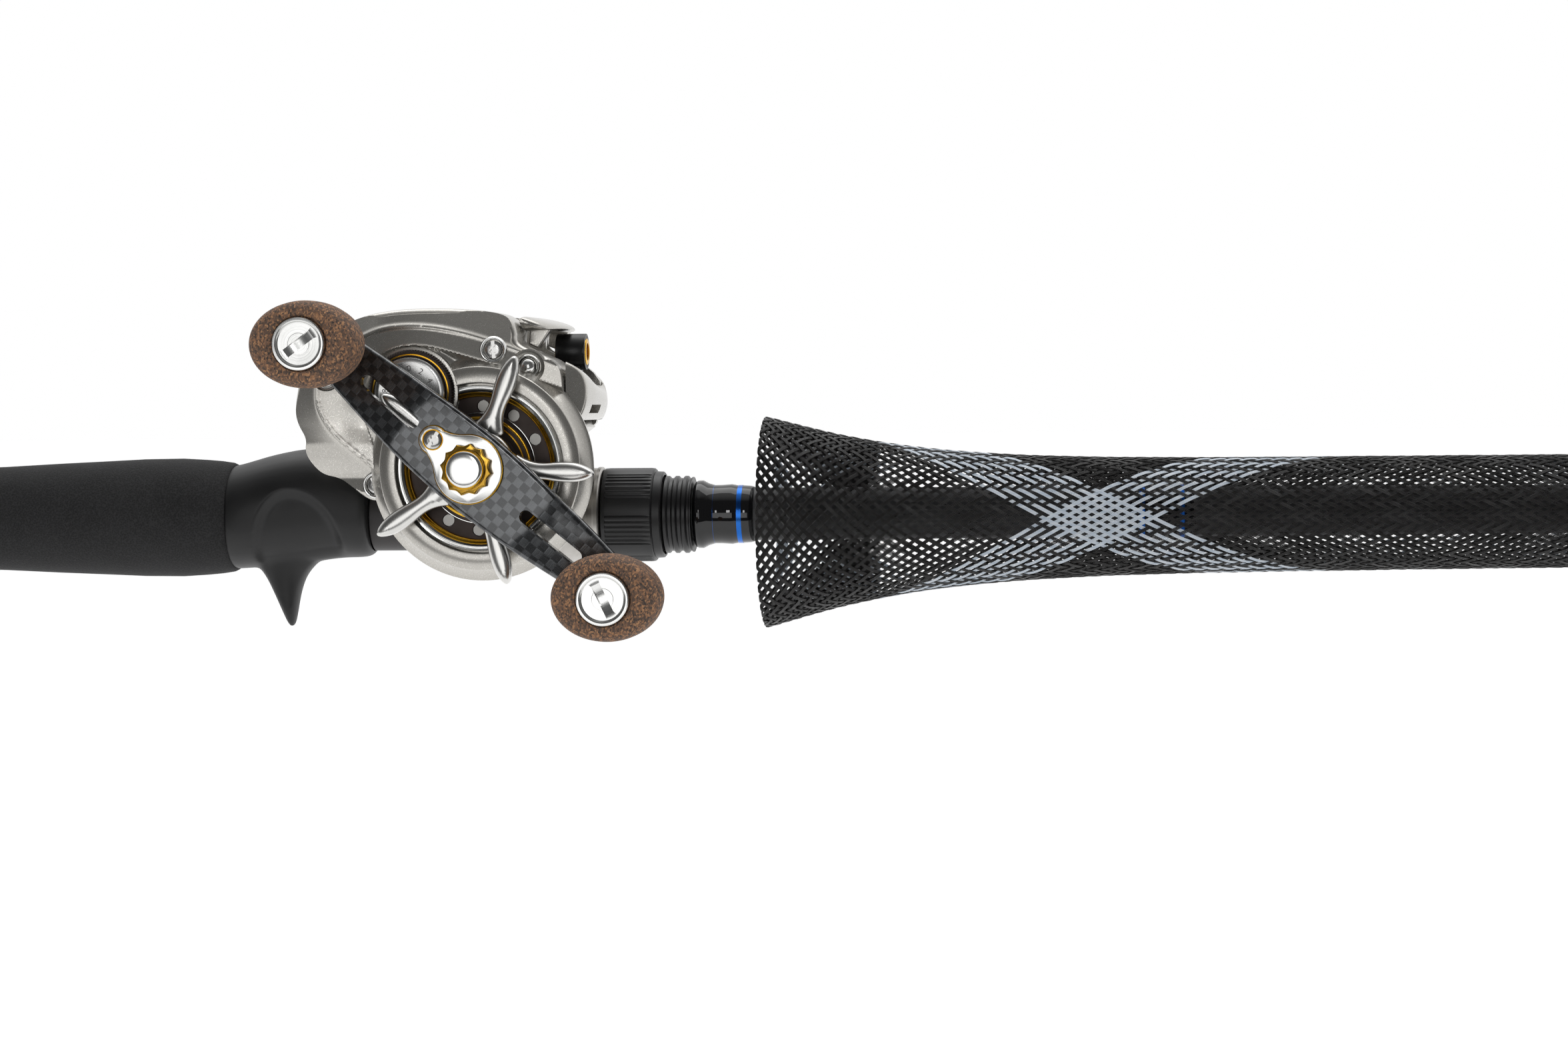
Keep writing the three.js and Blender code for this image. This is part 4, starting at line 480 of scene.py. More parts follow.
def merge(*shapes):
    whole = bmesh.new()
    for shape in shapes:
        mesh = bpy.data.meshes.new("part")
        shape.to_mesh(mesh)
        shape.free()
        whole.from_mesh(mesh)
        bpy.data.meshes.remove(mesh)
    return whole


def held(shape):
    # a bmesh in an object of its own, for modifiers
    mesh = bpy.data.meshes.new("held")
    shape.to_mesh(mesh)
    shape.free()
    form = bpy.data.objects.new("held", mesh)
    bpy.context.scene.collection.objects.link(form)
    return form


def released(form, *helpers):
    # the form with its modifiers applied, as a bmesh again
    bpy.context.view_layer.update()
    ready = form.evaluated_get(bpy.context.evaluated_depsgraph_get())
    result = bmesh.new()
    result.from_mesh(ready.data)
    for used in (form, *helpers):
        mesh = used.data
        bpy.data.objects.remove(used)
        bpy.data.meshes.remove(mesh)
    return result


def carve(shape, *cutters, operation="DIFFERENCE"):
    # each cutter is taken out of the shape
    base = held(shape)
    tools = [held(cutter) for cutter in cutters]
    for tool in tools:
        change = base.modifiers.new("cut", "BOOLEAN")
        change.object = tool
        change.operation = operation
        change.solver = "EXACT"
    return released(base, *tools)


def turned(shape, angle, centre):
    # turned about an axis that points out of the reel, anticlockwise as seen from the handle side
    about = Matrix.Rotation(-angle, 3, "Y")
    bmesh.ops.rotate(shape, cent=(centre[0], 0, centre[1]), matrix=about, verts=shape.verts[:])
    return shape


def addPiece(name, shape, finish, body, stands=(), crease=38):
    # scaled to metres, shaded smooth up to the crease angle, and put on its body
    bmesh.ops.scale(shape, vec=(mm, mm, mm), verts=shape.verts[:])
    for face in shape.faces:
        face.smooth = True
    limit = radians(crease)
    for edge in shape.edges:
        edge.smooth = len(edge.link_faces) == 2 and edge.calc_face_angle(0) < limit
    mesh = bpy.data.meshes.new(name)
    shape.to_mesh(mesh)
    shape.free()
    mesh.materials.append(finish)
    piece = bpy.data.objects.new(name, mesh)
    bpy.context.scene.collection.objects.link(piece)
    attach(piece, body)
    if stands:
        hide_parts(*stands)
    return piece


def refine(node, finish, body, edge=0.0, crease=32, segments=2):
    # the CAD node's own shape with its facets shaded smooth and its sharp edges softened
    shape = bmesh.new()
    shape.from_mesh(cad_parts[node].data)
    bmesh.ops.scale(shape, vec=(1 / mm,) * 3, verts=shape.verts[:])
    bmesh.ops.remove_doubles(shape, verts=shape.verts[:], dist=0.002)
    bmesh.ops.dissolve_limit(
        shape, angle_limit=radians(0.6), verts=shape.verts[:], edges=shape.edges[:]
    )
    piece = addPiece(node + "_fine", shape, finish, body, [node], crease=crease)
    if edge:
        soften = piece.modifiers.new("edges", "BEVEL")
        soften.width = edge * mm
        soften.segments = segments
        soften.limit_method = "ANGLE"
        soften.angle_limit = radians(crease)
        soften.use_clamp_overlap = True
        soften.harden_normals = True
    return piece


rod = {
    "foamSteps": 96,
    # (past the butt end, radius)
    "gripRear": [(0, 12.9), (0.4, 13.4), (2, 13.6), (18, 12.4), (58, 11.2), (80, 11.3)],
    # (short of the grip's front end, radius)
    "gripFront": [(61, 13.35), (46, 14.1), (34, 14.6), (24, 15.05), (14, 15.15), (8, 14.8), (4, 14.45),
                  (1, 14.0), (0.2, 13.6), (0, 13.1)],
    "tipRadius": 1.107,
    "tubeRadius": 8.8,
    "threadLength": 24.5,
    "threadPitch": 2.4,
    "threadDepth": 0.55,
    "ringBore": 10.1,  # inside the hood and the nut
    "nutRibGroups": 6,
    "nutRibsEach": 6,
    "nutRibDepth": 0.24,
    "nutRibbed": 0.62,  # share of each group's angle that is ribbed
}


def boxOf(node):
    low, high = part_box(node)
    return low / mm, high / mm


def blankRadius(x):
    low, high = boxOf("blank")
    share = (x - low.x) / (high.x - low.x)
    return high.z + (rod["tipRadius"] - high.z) * share


def makeGrip():
    low, high = boxOf("rear_grip")
    profile = [(0, low.x)] + [(radius, low.x + past) for past, radius in rod["gripRear"]]
    profile += [(radius, high.x - short) for short, radius in rod["gripFront"]] + [(0, high.x)]
    addPiece("rear_grip_foam", lathe(profile, steps=rod["foamSteps"]), foam, "rod", ["rear_grip"], crease=50)
    low, high = boxOf("butt_cap")
    radius = high.z
    cap = [(0, low.x), (radius - 2.4, low.x), (radius - 0.9, low.x + 0.5), (radius - 0.2, low.x + 1.6)]
    cap += [(radius, low.x + 3), (radius, high.x - 1), (radius - 0.3, high.x - 0.3)]
    cap += [(radius - 0.9, high.x), (0, high.x)]
    addPiece("butt_cap_moulded", lathe(cap), blackNylon, "rod", ["butt_cap"], crease=50)


def makeBlank():
    low, high = boxOf("blank")
    ends = [low.x, low.x + 400, 0, 400, 800, 1200, high.x]
    profile = [(0, low.x)] + [(blankRadius(x), x) for x in sorted(ends)] + [(0, high.x)]
    addPiece("blank_coated", lathe(profile, steps=64), blankFinish, "rod", ["blank"], crease=50)


def threadProfile(start, end, crest):
    # coarse square-shouldered thread, drawn as rings a pitch apart
    pitch, root = rod["threadPitch"], crest - rod["threadDepth"]
    profile = [(0, start), (root, start)]
    x = start + 0.3
    while x + pitch < end:
        profile += [(root, x), (crest - 0.12, x + 0.32), (crest, x + 0.5)]
        profile += [(crest, x + 1.15), (crest - 0.12, x + 1.33), (root, x + 1.65)]
        x += pitch
    profile += [(root, end - 0.5), (crest - 0.3, end - 0.3), (crest - 0.3, end), (0, end)]
    return profile


def makeSeat():
    low, high = boxOf("seat_tube")
    radius, threadStart = rod["tubeRadius"], high.x - rod["threadLength"]
    tube = lathe([(0, low.x), (radius, low.x), (radius, threadStart - 0.1), (0, threadStart + 0.1)])
    thread = lathe(threadProfile(threadStart, high.x, high.z), steps=96)
    addPiece("seat_tube_body", tube, tubeNylon, "rod", ["seat_tube"])
    addPiece("seat_tube_thread", thread, blackNylon, "rod", crease=30)


def makeHood():
    low, high = boxOf("seat_hood")
    outer, inner = high.z, rod["ringBore"]
    profile = [(inner, low.x), (outer - 0.7, low.x), (outer - 0.25, low.x + 0.25), (outer, low.x + 0.8)]
    profile += [(outer, low.x + 1.8), (outer - 0.25, low.x + 2.1), (outer - 0.25, high.x - 1.7)]
    profile += [(outer, high.x - 1.4), (outer, high.x - 0.5), (outer - 0.3, high.x - 0.15)]
    profile += [(outer - 0.7, high.x), (inner, high.x)]
    hood = lathe(closed(profile), steps=96)
    addPiece("seat_hood_steel", hood, stainless, "front_hood", ["seat_hood"], crease=30)


def makeNut():
    low, high = boxOf("locking_nut")
    outer, inner, shoulder = high.z, rod["ringBore"], high.x - 2.2
    profile = [(inner, low.x), (outer - 0.45, low.x), (outer - 0.15, low.x + 0.2), (outer - 0.1, low.x + 1.1)]
    profile += [(outer - 0.1, low.x + 1.2 + 0.9 * i) for i in range(11)]
    profile += [(outer - 0.1, shoulder - 1.2), (outer - 0.2, shoulder - 0.3), (outer - 0.5, shoulder)]
    profile += [(11, shoulder + 0.1), (10.9, high.x - 0.3), (10.6, high.x), (inner, high.x)]
    groups, each, ribbed = rod["nutRibGroups"], rod["nutRibsEach"], rod["nutRibbed"]
    nut = lathe(closed(profile), steps=groups * each * 10)
    for v in nut.verts:
        radius = hypot(v.co.y, v.co.z)
        if radius > outer - 0.2 and low.x + 1.15 < v.co.x < shoulder - 1.1:
            share = (atan2(v.co.z, v.co.y) / (2 * pi) * groups) % 1
            if share < ribbed:
                rib = abs(((share / ribbed * each) % 1) - 0.5) * 2
                v.co.yz *= 1 - rod["nutRibDepth"] / radius * min(1, 2.2 * max(0, rib - 0.35))
    addPiece("locking_nut_ribbed", nut, blackNylon, "screw_nut", ["locking_nut"], crease=30)


winding = {
    # (past the rear end, below the full radius), a bulge that falls to a thinner neck
    "bulge": [(0, 0.9), (0.3, 0.35), (1, 0), (2.2, 0), (3.6, 0.75), (5.2, 1.2), (7, 1.16), (9.5, 1.0)],
    # (short of the front end, below the full radius)
    "front": [(1, 1.42), (0.3, 1.6), (0, 1.85)],
    "fineRing": (4.6, 5.1),
    # a second short winding farther up, seen through the sleeve, with its blue bands
    "second": (213.4, 229),
    "secondBands": (215.6, 225.4),
    "bandLength": 1.3,
}


def ringRound(inside, radius, start, end):
    return closed([(inside, start), (radius, start), (radius, end), (inside, end)])


def makeWinding():
    low, high = boxOf("front_winding")
    full = high.z
    ringLow, ringHigh = boxOf("trim_ring")
    shoulders = [(low.x + past, full - below) for past, below in winding["bulge"]]
    shoulders += [(ringLow.x - 0.3, full - 1.25), (ringLow.x, full - 1.32)]
    shoulders += [(ringHigh.x, full - 1.32), (ringHigh.x + 0.3, full - 1.3)]
    shoulders += [(high.x - short, full - below) for short, below in winding["front"]]
    profile = [(0, low.x)] + [(radius, x) for x, radius in shoulders] + [(0, high.x)]
    addPiece("front_winding_gloss", lathe(profile, steps=96), epoxy, "rod", ["front_winding"], crease=60)
    fineStart, fineEnd = (low.x + past for past in winding["fineRing"])
    rings = [ringRound(5, full - 1.24, ringLow.x, ringHigh.x), ringRound(5, full - 1.16, fineStart, fineEnd)]
    addPiece("trim_ring_blue", merge(*(lathe(ring, steps=96) for ring in rings)), blue, "rod", ["trim_ring"])
    start, end = winding["second"]
    band = [(6, start), (blankRadius(start) + 0.05, start), (blankRadius(start + 0.6) + 0.35, start + 0.8)]
    band += [(blankRadius(end - 1) + 0.35, end - 1), (blankRadius(end) + 0.05, end), (6, end)]
    addPiece("label_winding", lathe(closed(band), steps=64), epoxy, "rod", crease=60)
    blues = []
    for start in winding["secondBands"]:
        blues.append(lathe(ringRound(6, blankRadius(start) + 0.45, start, start + winding["bandLength"])))
    addPiece("label_winding_bands", merge(*blues), blue, "rod")


trigger = {
    # (along the rod, top, bottom, half width)
    "body": [
        (-15.5, 12.9, -12.9, 12.9), (-15.2, 13.3, -13.3, 13.4), (-13.5, 13.5, -13.2, 13.9),
        (-9.9, 14.5, -13, 14.2), (-4.7, 16, -12.6, 13.9), (3.3, 17.5, -12, 13.5), (9, 17.4, -11, 13.2),
        (14, 15.2, -10.5, 13), (18.3, 13.6, -10.5, 12.9), (20.4, 13.2, -10.1, 12.5), (21.2, 12.4, -9, 11.6),
    ],
    # (height, rear, front, width)
    "blade": [
        (-4, -12.4, 12, 16), (-9.5, -12.2, 8.8, 14.5), (-12.6, -9.4, 5.1, 12.4), (-15.4, -7.3, 2.9, 10.8),
        (-19.5, -5.35, 1.5, 9.2), (-24, -3.4, 0.7, 7.2), (-27.2, -2, 0.1, 4.8), (-28.4, -1.3, -0.35, 1.8),
    ],
    "voxel": 0.5,
    "scoop": 2.3,  # depth of the finger's hollow on each side
    "scoopCentre": (1.5, -9.0),
    "scoopRear": 9.5,
    "scoopFront": 13.5,
    "scoopHeight": 16.4,
    "bore": 8.85,
    "footStart": 16.2,  # the pocket that takes the reel's rear foot
    "footTop": 10.9,
    "footHalf": 6.8,
}


def ovalRing(half, low, high, power=2.15, steps=40):
    # a squarish oval between two heights, as (across, up)
    ring = []
    for i in range(steps):
        a = 2 * pi * i / steps
        across = half * abs(cos(a)) ** (2 / power) * (1 if cos(a) > 0 else -1)
        up = (high - low) / 2 * abs(sin(a)) ** (2 / power) * (1 if sin(a) > 0 else -1)
        ring.append((across, (high + low) / 2 + up))
    return ring


def skin(rings):
    # a closed form through rings of equal counts, with its ends filled
    shape = bmesh.new()
    loops = []
    for ring in rings:
        points = [shape.verts.new(place) for place in ring]
        loops.append([shape.edges.new(pair) for pair in zip(points, points[1:] + points[:1])])
    for first, second in zip(loops, loops[1:]):
        bmesh.ops.bridge_loops(shape, edges=first + second)
    for loop in (loops[0], loops[-1]):
        bmesh.ops.contextual_create(shape, geom=loop)
    bmesh.ops.recalc_face_normals(shape, faces=shape.faces[:])
    return shape


def relaxed(shape, rounds):
    axes = {"use_axis_x": True, "use_axis_y": True, "use_axis_z": True}
    for _ in range(rounds):
        bmesh.ops.smooth_vert(shape, verts=shape.verts[:], factor=0.5, **axes)
    return shape


def fused(shape, voxel, rounds):
    # overlapping forms made one skin, with their meeting lines blended
    form = held(shape)
    change = form.modifiers.new("one", "REMESH")
    change.mode = "VOXEL"
    change.voxel_size = voxel
    return relaxed(released(form), rounds)


def makeTriggerBody():
    rings = []
    for x, top, bottom, half in openCurve(trigger["body"], 2):
        rings.append([(x, across, up) for across, up in ovalRing(half, bottom, top)])
    blades = []
    for z, rear, front, width in openCurve(trigger["blade"], 2):
        blades.append([(x, across, z) for across, x in ovalRing(width / 2, rear, front, 2.0)])
    shape = fused(merge(skin(rings), skin(blades)), trigger["voxel"], 9)
    centreX, centreZ = trigger["scoopCentre"]
    for v in shape.verts:
        width = trigger["scoopRear"] if v.co.x < centreX else trigger["scoopFront"]
        inside = 1 - ((v.co.x - centreX) / width) ** 2 - ((v.co.z - centreZ) / trigger["scoopHeight"]) ** 2
        if inside > 0 and abs(v.co.y) > 3:
            depth = trigger["scoop"] * min(1, inside / 0.3) ** 0.8 * min(1, (abs(v.co.y) - 3) / 6)
            v.co.y -= depth if v.co.y > 0 else -depth
    relaxed(shape, 2)
    radius, start, top = trigger["bore"], trigger["footStart"], trigger["footTop"]
    bore = lathe([(0, -20), (radius, -20), (radius, 30), (0, 30)], steps=64)
    pocket = [(start, 5), (31, 5), (31, top), (start, top)]
    foot = plate(pocket, -trigger["footHalf"], trigger["footHalf"])
    addPiece("trigger_body_moulded", carve(shape, bore, foot), softCoat, "rod", ["trigger_body"], crease=60)


makeGrip()
makeBlank()
makeSeat()
makeHood()
makeNut()
makeWinding()
makeTriggerBody()
for number in range(1, 9):
    refine(f"line_guide_{number}", steel, "rod", 0.0, 40)
refine("tip_top", steel, "rod", 0.0, 40)
print("rod dressed")


braid = {
    "carriers": 48,  # bundles laid in each direction
    # (filaments side by side in a bundle, their radius, their spacing)
    "fine": (3, 0.15, 0.29),
    "coarse": (2, 0.21, 0.4),
    "wave": 0.17,  # how far a bundle rises over the ones that it crosses
    "sinePerRadius": 0.0311,  # a bundle's angle to the rod grows with the sleeve's radius
    "whiteBundles": 4,  # white on each side of the crossing
    "crossing": 206,
    "lip": 121.75,
    "foldedIn": 27,  # length of the end that is turned back inside the mouth
    "start": 122.1,
    "fineEnd": 345,  # fine filaments up to here, coarse ones beyond
    "end": 1768.4,
    "step": 1.03,
    "farStep": 6.5,
}


def sleeveAt(x):
    # radius and centre height of the sleeve, as in the CAD solid
    mouthX, mouthRadius, restRadius, tipRadius = 121.5, 26.8, 14.2, 9.5
    end, flareLength, tipX = 1769, 70, 1745
    past = max(0.0, x - mouthX) / flareLength
    flare = (mouthRadius - restRadius) * exp(-((past * 2) ** 1.15))
    share = max(0.0, (x - mouthX - 2 * flareLength) / (tipX - mouthX))
    radius = restRadius - (restRadius - tipRadius) * share + flare
    fade = min(1.0, sqrt(max(0.0, end - x) / 34))
    centre = 0.6 * share - 2.1 * exp(-(x - mouthX) / (2 * flareLength))
    return radius * fade, centre


def braidPath(step, start, end, folded):
    # (x, radius, centre, turn) from the folded-in end, round the lip and along the sleeve
    path = []
    if folded:
        lip, length = braid["lip"], braid["foldedIn"]
        inside = [lip + 0.35 + length - i * step for i in range(int(length / step) + 1)]
        path += [(x, sleeveAt(x)[0] - 1.0, sleeveAt(x)[1]) for x in inside]
        for angle in (-60, -25, 15, 50):
            middleRadius = sleeveAt(lip)[0] - 0.65
            place = (lip + 0.35 * (1 - cos(radians(angle))), middleRadius + 0.35 * sin(radians(angle)))
            path.append((place[0], place[1], sleeveAt(lip)[1]))
    count = int((end - start) / step)
    along = [start + (end - start) * i / count for i in range(count + 1)]
    path += [(x, sleeveAt(x)[0] - 0.3, sleeveAt(x)[1]) for x in along]
    turns = [0.0]
    for (x0, r0, _), (x1, r1, _) in zip(path, path[1:]):
        lean = asin(min(0.86, braid["sinePerRadius"] * (r0 + r1) / 2))
        turns.append(turns[-1] + tan(lean) * hypot(x1 - x0, r1 - r0) / max(1.0, (r0 + r1) / 2))
    return [(x, r, c, t) for (x, r, c), t in zip(path, turns)]


def addStrands(name, path, zero, direction, bundles, filaments, finish):
    # one curve object with a spline for each filament of the bundles
    strands, radius, gap = filaments
    data = bpy.data.curves.new(name, "CURVE")
    data.dimensions = "3D"
    data.bevel_depth = radius * mm
    data.bevel_resolution = 0
    data.use_fill_caps = True
    pitch = 2 * pi / braid["carriers"]
    for bundle in bundles:
        for strand in range(strands):
            spline = data.splines.new("POLY")
            spline.points.add(len(path) - 1)
            aside = (strand - (strands - 1) / 2) * gap
            flat = []
            for x, r, centre, turn in path:
                lean = asin(min(0.86, braid["sinePerRadius"] * r))
                angle = (bundle + 0.5) * pitch + direction * (turn - zero) + aside / (r * cos(lean) + 0.1)
                weave = 2 * (bundle + 0.5) + direction * 2 * (turn - zero) / pitch
                rise = max(-1.0, min(1.0, 1.5 * cos(2 * pi * (weave - 0.5) / 4)))
                size = r + direction * braid["wave"] * rise
                flat += [x * mm, -size * cos(angle) * mm, (centre + size * sin(angle)) * mm, 1.0]
            spline.points.foreach_set("co", flat)
    data.materials.append(finish)
    piece = bpy.data.objects.new(name, data)
    bpy.context.scene.collection.objects.link(piece)
    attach(piece, "rod_sleeve")
    return piece


def makeSleeve():
    half = braid["carriers"] // 2
    white = list(range(-braid["whiteBundles"], braid["whiteBundles"]))
    dark = [i for i in range(-half, half) if i not in white]
    near = braidPath(braid["step"], braid["start"], braid["fineEnd"], True)
    turnAt = min(near[40:], key=lambda place: abs(place[0] - braid["crossing"]))[3]
    far = braidPath(braid["farStep"], braid["fineEnd"], braid["end"], False)
    carry = near[-1][3] - turnAt
    first = None
    for direction, side in ((1, "left"), (-1, "right")):
        # the black bundles are two pieces, which keeps each piece's mesh small
        groups = [("black_low", dark[:20], blackStrand), ("black_high", dark[20:], blackStrand)]
        for label, bundles, finish in groups + [("white", white, whiteStrand)]:
            name = f"sleeve_{label}_{side}"
            piece = addStrands(name, near, turnAt, direction, bundles, braid["fine"], finish)
            first = first or piece
            addStrands(f"{name}_far", far, -carry, direction, bundles, braid["coarse"], finish)
    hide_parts("sleeve")


makeSleeve()
print("sleeve braided")


# Places on the reel are (ahead, up) from the spool's axis.
cover = {
    "face": 31.5,  # out of the flat part between the band and the boss
    "bandFace": 33.5,
    "bandTilt": 0.27,  # how fast the band falls back as it rises
    "archTilt": 0.5,
    "tailTilt": 0.4,
    "leafRise": 0.7,
    "rim": 0.42,  # width of the bright creases along the band
    "grain": 0.3,  # spacing of the points that carry the relief
    "back": 16.85,
    "wallEnd": 28.0,  # the walls are straight up to here
    "crown": [(28.6, 0.12), (29.1, 0.38), (29.45, 0.75), (29.65, 1.15), (30.4, 1.35), (34, 1.6)],
    "sharpFrom": 34.0,  # the edge stays crisp ahead of here, along the seam to the nose
    "upperCrease": [(-22, 9), (-17.5, 11.6), (-13, 14.2), (-8.3, 16), (-2.5, 16.6), (4.3, 16.3), (11.5, 14.9),
                    (18, 13.0), (26.5, 10.1), (37, 5.6)],
    "lowerCrease": [(-16, 3), (-12, 5.6), (-8.6, 8.8), (-5, 10.9), (-0.5, 11.8), (4.5, 11.3), (9.1, 10),
                    (15, 8.3), (22, 6.2), (37, 0.8)],
    "leafEdge": [(-20, 16), (-23.6, 8), (-24.7, 2), (-24.7, -2), (-23.4, -6), (-20.4, -10.4), (-15.8, -14.3),
                 (-11, -18.2), (-8, -21)],
    "seam": [(-17.5, 8), (-15.4, 0), (-13.4, -4.6), (-11.3, -10.4), (-9.2, -16.4), (-7.6, -21)],
    "sideSeam": [(-11.4, -4), (-9.6, -8), (-7.6, -14.2), (-6.3, -18)],
    "seamWidth": 0.26,
    "seamDepth": 0.45,
    "screwRadius": 2.5,
    "seatRadius": 11.4,  # of the round seat that carries the tension knob
    "plateHoles": 12,
}


def coverOutline():
    tail = [(-30.4, -1.0), (-29.4, 4.5), (-26.9, 9.6), (-21.2, 15.6), (-13.4, 19.2), (-5, 20.6)]
    deck = [(3, 20.8), (11, 20.6), (19, 19.9), (23.3, 18.5), (25.3, 15.0), (24.9, 12.1)]
    front = [(30, 9.7), (36.2, 7.0), (37.15, 2), (36.9, -7)]
    belly = [(20, -25), (-9.8, -26.8), (-13.2, -26), (-17.2, -22.6), (-20, -20.7), (-24.2, -20)]
    heel = [(-27, -17.2), (-28.5, -14.2), (-28.0, -11.2), (-30.1, -7.6), (-30.8, -4.6)]
    return curved(fromSpool(tail + deck + front + belly + heel), 3)


def pushed(shape, face):
    # the face lifted off its place, joined to it by new sides
    grown = bmesh.ops.extrude_face_region(shape, geom=[face])
    bmesh.ops.delete(shape, geom=[face], context="FACES_ONLY")
    return next(g for g in grown["geom"] if isinstance(g, bmesh.types.BMFace))


def crowned(outline, back, wall, levels, pull, sharpFrom=1e6):
    # a moulded shell: straight walls, then drawn in towards "pull" ring by ring, as (out, inset)
    shape = plate(outline, back, wall)
    front = min(shape.faces, key=lambda f: f.calc_center_median().y)
    before = 0.0
    for out, inset in levels:
        front = pushed(shape, front)
        for v in front.verts:
            inward = Vector((pull[0] - v.co.x, 0, pull[1] - v.co.z))
            share = 0.05 if v.co.x > sharpFrom else 1.0
            v.co += inward.normalized() * (inset - before) * share
            v.co.y = -out
        before = inset
    bmesh.ops.recalc_face_normals(shape, faces=shape.faces[:])
    return shape


def smoothStep(value, low, high):
    share = np.clip((value - low) / (high - low), 0, 1)
    return share * share * (3 - 2 * share)


def coverLine(name):
    return np.array(openCurve(cover[name]))


def coverRelief(x, z):
    # how far out the cover's face lies: the band, the slopes beside it, the leaf and the tail
    ahead, up = x - spoolX, z - spoolZ
    upper, lower = coverLine("upperCrease"), coverLine("lowerCrease")
    edge, seam = coverLine("leafEdge")[::-1], coverLine("seam")[::-1]
    face, bandFace, rim = cover["face"], cover["bandFace"], cover["rim"]
    top = np.interp(ahead, upper[:, 0], upper[:, 1])
    low = np.interp(ahead, lower[:, 0], lower[:, 1])
    tilted = 1 - smoothStep(ahead, 27.5, 31)  # the band and the arch are level at the nose
    crease = 1 - 0.75 * smoothStep(ahead, 6, 16)
    start = smoothStep(ahead, -19, -13)
    # the band: a narrow flat rim, then a face that leans back, then another rim
    rise = up - low
    band = bandFace - 0.12 * tilted - cover["bandTilt"] * tilted * np.clip(rise - rim, 0, 99)
    topOut = bandFace - cover["bandTilt"] * tilted * (top - low - 2 * rim)
    lip = smoothStep(top - up, 2.2 * rim, 1.1 * rim)
    band = band + (topOut + 0.16 * crease - band) * lip
    # the arch leans back above it
    past = smoothStep(up - top, 0, 0.9)
    arch = topOut + 0.16 * crease * (1 - past) - 0.3 * past
    arch = arch - cover["archTilt"] * tilted * np.clip(up - top, 0, 99)
    # below the band, a fillet down to the flat
    foot = np.exp(-np.clip(-rise, 0, 99) / 0.75)
    hollow = 0.16 * smoothStep(-rise, 0, 1.5) * smoothStep(ahead, 14, 2)
    below = face + (bandFace - 0.12 * tilted - face) * foot - hollow
    # the leaf stands on a tail that falls away behind it
    aside = ahead - np.interp(up, edge[:, 1], edge[:, 0])
    slope = np.gradient(edge[:, 0], edge[:, 1])
    aside = aside / np.sqrt(1 + np.interp(up, edge[:, 1], slope) ** 2)
    past = ahead - np.interp(up, seam[:, 1], seam[:, 0])
    leafFace = face + cover["leafRise"]
    fall = 0.02 + 0.2 * smoothStep(up, 1, -9)
    leaf = leafFace - 0.08 - fall * np.clip(aside - 0.9, 0, 99) * 0.8
    leaf = np.where(aside < 0.85, leafFace, leaf)
    tail = face - 0.25 + (cover["leafRise"] + 0.25) * np.exp(np.clip(aside, -99, 0) / 0.22)
    tail = tail - cover["tailTilt"] * np.clip(-aside, 0, 99)
    plain = np.where(past > 0, face + 0 * x, np.where(aside > 0, leaf, tail))
    below = below + plain - face
    out = np.where(up > top, arch, np.where(rise > 0, band, below))
    out = start * out + (1 - start) * np.where(up > low, np.minimum(arch, plain), plain)
    # a soft fillet up to the knob's seat
    away = np.hypot(ahead, up) - cover["seatRadius"]
    return out + 1.5 * np.exp(-np.clip(away, 0, 99) / 0.9) * smoothStep(-rise, 0, 1.2)


def reliefBlock(back):
    # a slab over the whole cover whose front carries the relief
    width, height = 74.0, 54.0
    columns, rows = int(width / cover["grain"]), int(height / cover["grain"])
    shape = bmesh.new()
    bmesh.ops.create_grid(shape, x_segments=columns, y_segments=rows, size=0.5)
    middleX, middleZ = spoolX + 5.5, spoolZ - 4.0
    for v in shape.verts:
        v.co = Vector((middleX + v.co.x * width, 0, middleZ + v.co.y * height))
    places = np.array([(v.co.x, v.co.z) for v in shape.verts])
    for v, out in zip(shape.verts, coverRelief(places[:, 0], places[:, 1])):
        v.co.y = -float(out)
    grown = bmesh.ops.extrude_face_region(shape, geom=shape.faces[:])
    for v in grown["geom"]:
        if isinstance(v, bmesh.types.BMVert):
            v.co.y = -back
    bmesh.ops.recalc_face_normals(shape, faces=shape.faces[:])
    return shape


def strip(points, width):
    # a closed outline on both sides of an open line
    left, right = [], []
    for i, point in enumerate(points):
        first, last = points[max(0, i - 1)], points[min(len(points) - 1, i + 1)]
        across = Vector((first[1] - last[1], last[0] - first[0])).normalized() * width / 2
        left.append((point[0] + across.x, point[1] + across.y))
        right.append((point[0] - across.x, point[1] - across.y))
    return left + right[::-1]


def circleOutline(radius, x=0.0, z=0.0, steps=64):
    angles = [2 * pi * i / steps for i in range(steps)]
    return [(x + radius * cos(a), z + radius * sin(a)) for a in angles]


def barCut(x, z, long, wide, back, front, turn):
    # a cutter with a rectangular section about (x, z), by its half lengths
    corners = [(-long, -wide), (long, -wide), (long, wide), (-long, wide)]
    return turned(moved(plate(corners, back, front), (x, 0, z)), turn, (x, z))


def crossRecess(x, z, face, size, depth, turn=0.0):
    # the four wings of a cross recess, and a short wide slot behind them
    cutters = []
    for angle in (turn, turn + pi / 2):
        cutters.append(barCut(x, z, 0.5 * size, 0.17 * size, face - depth, face + 1, angle))
    cutters.append(barCut(x, z, 1.2 * size, 0.22 * size, face - 0.4 * depth, face + 1, turn + pi / 4))
    return cutters


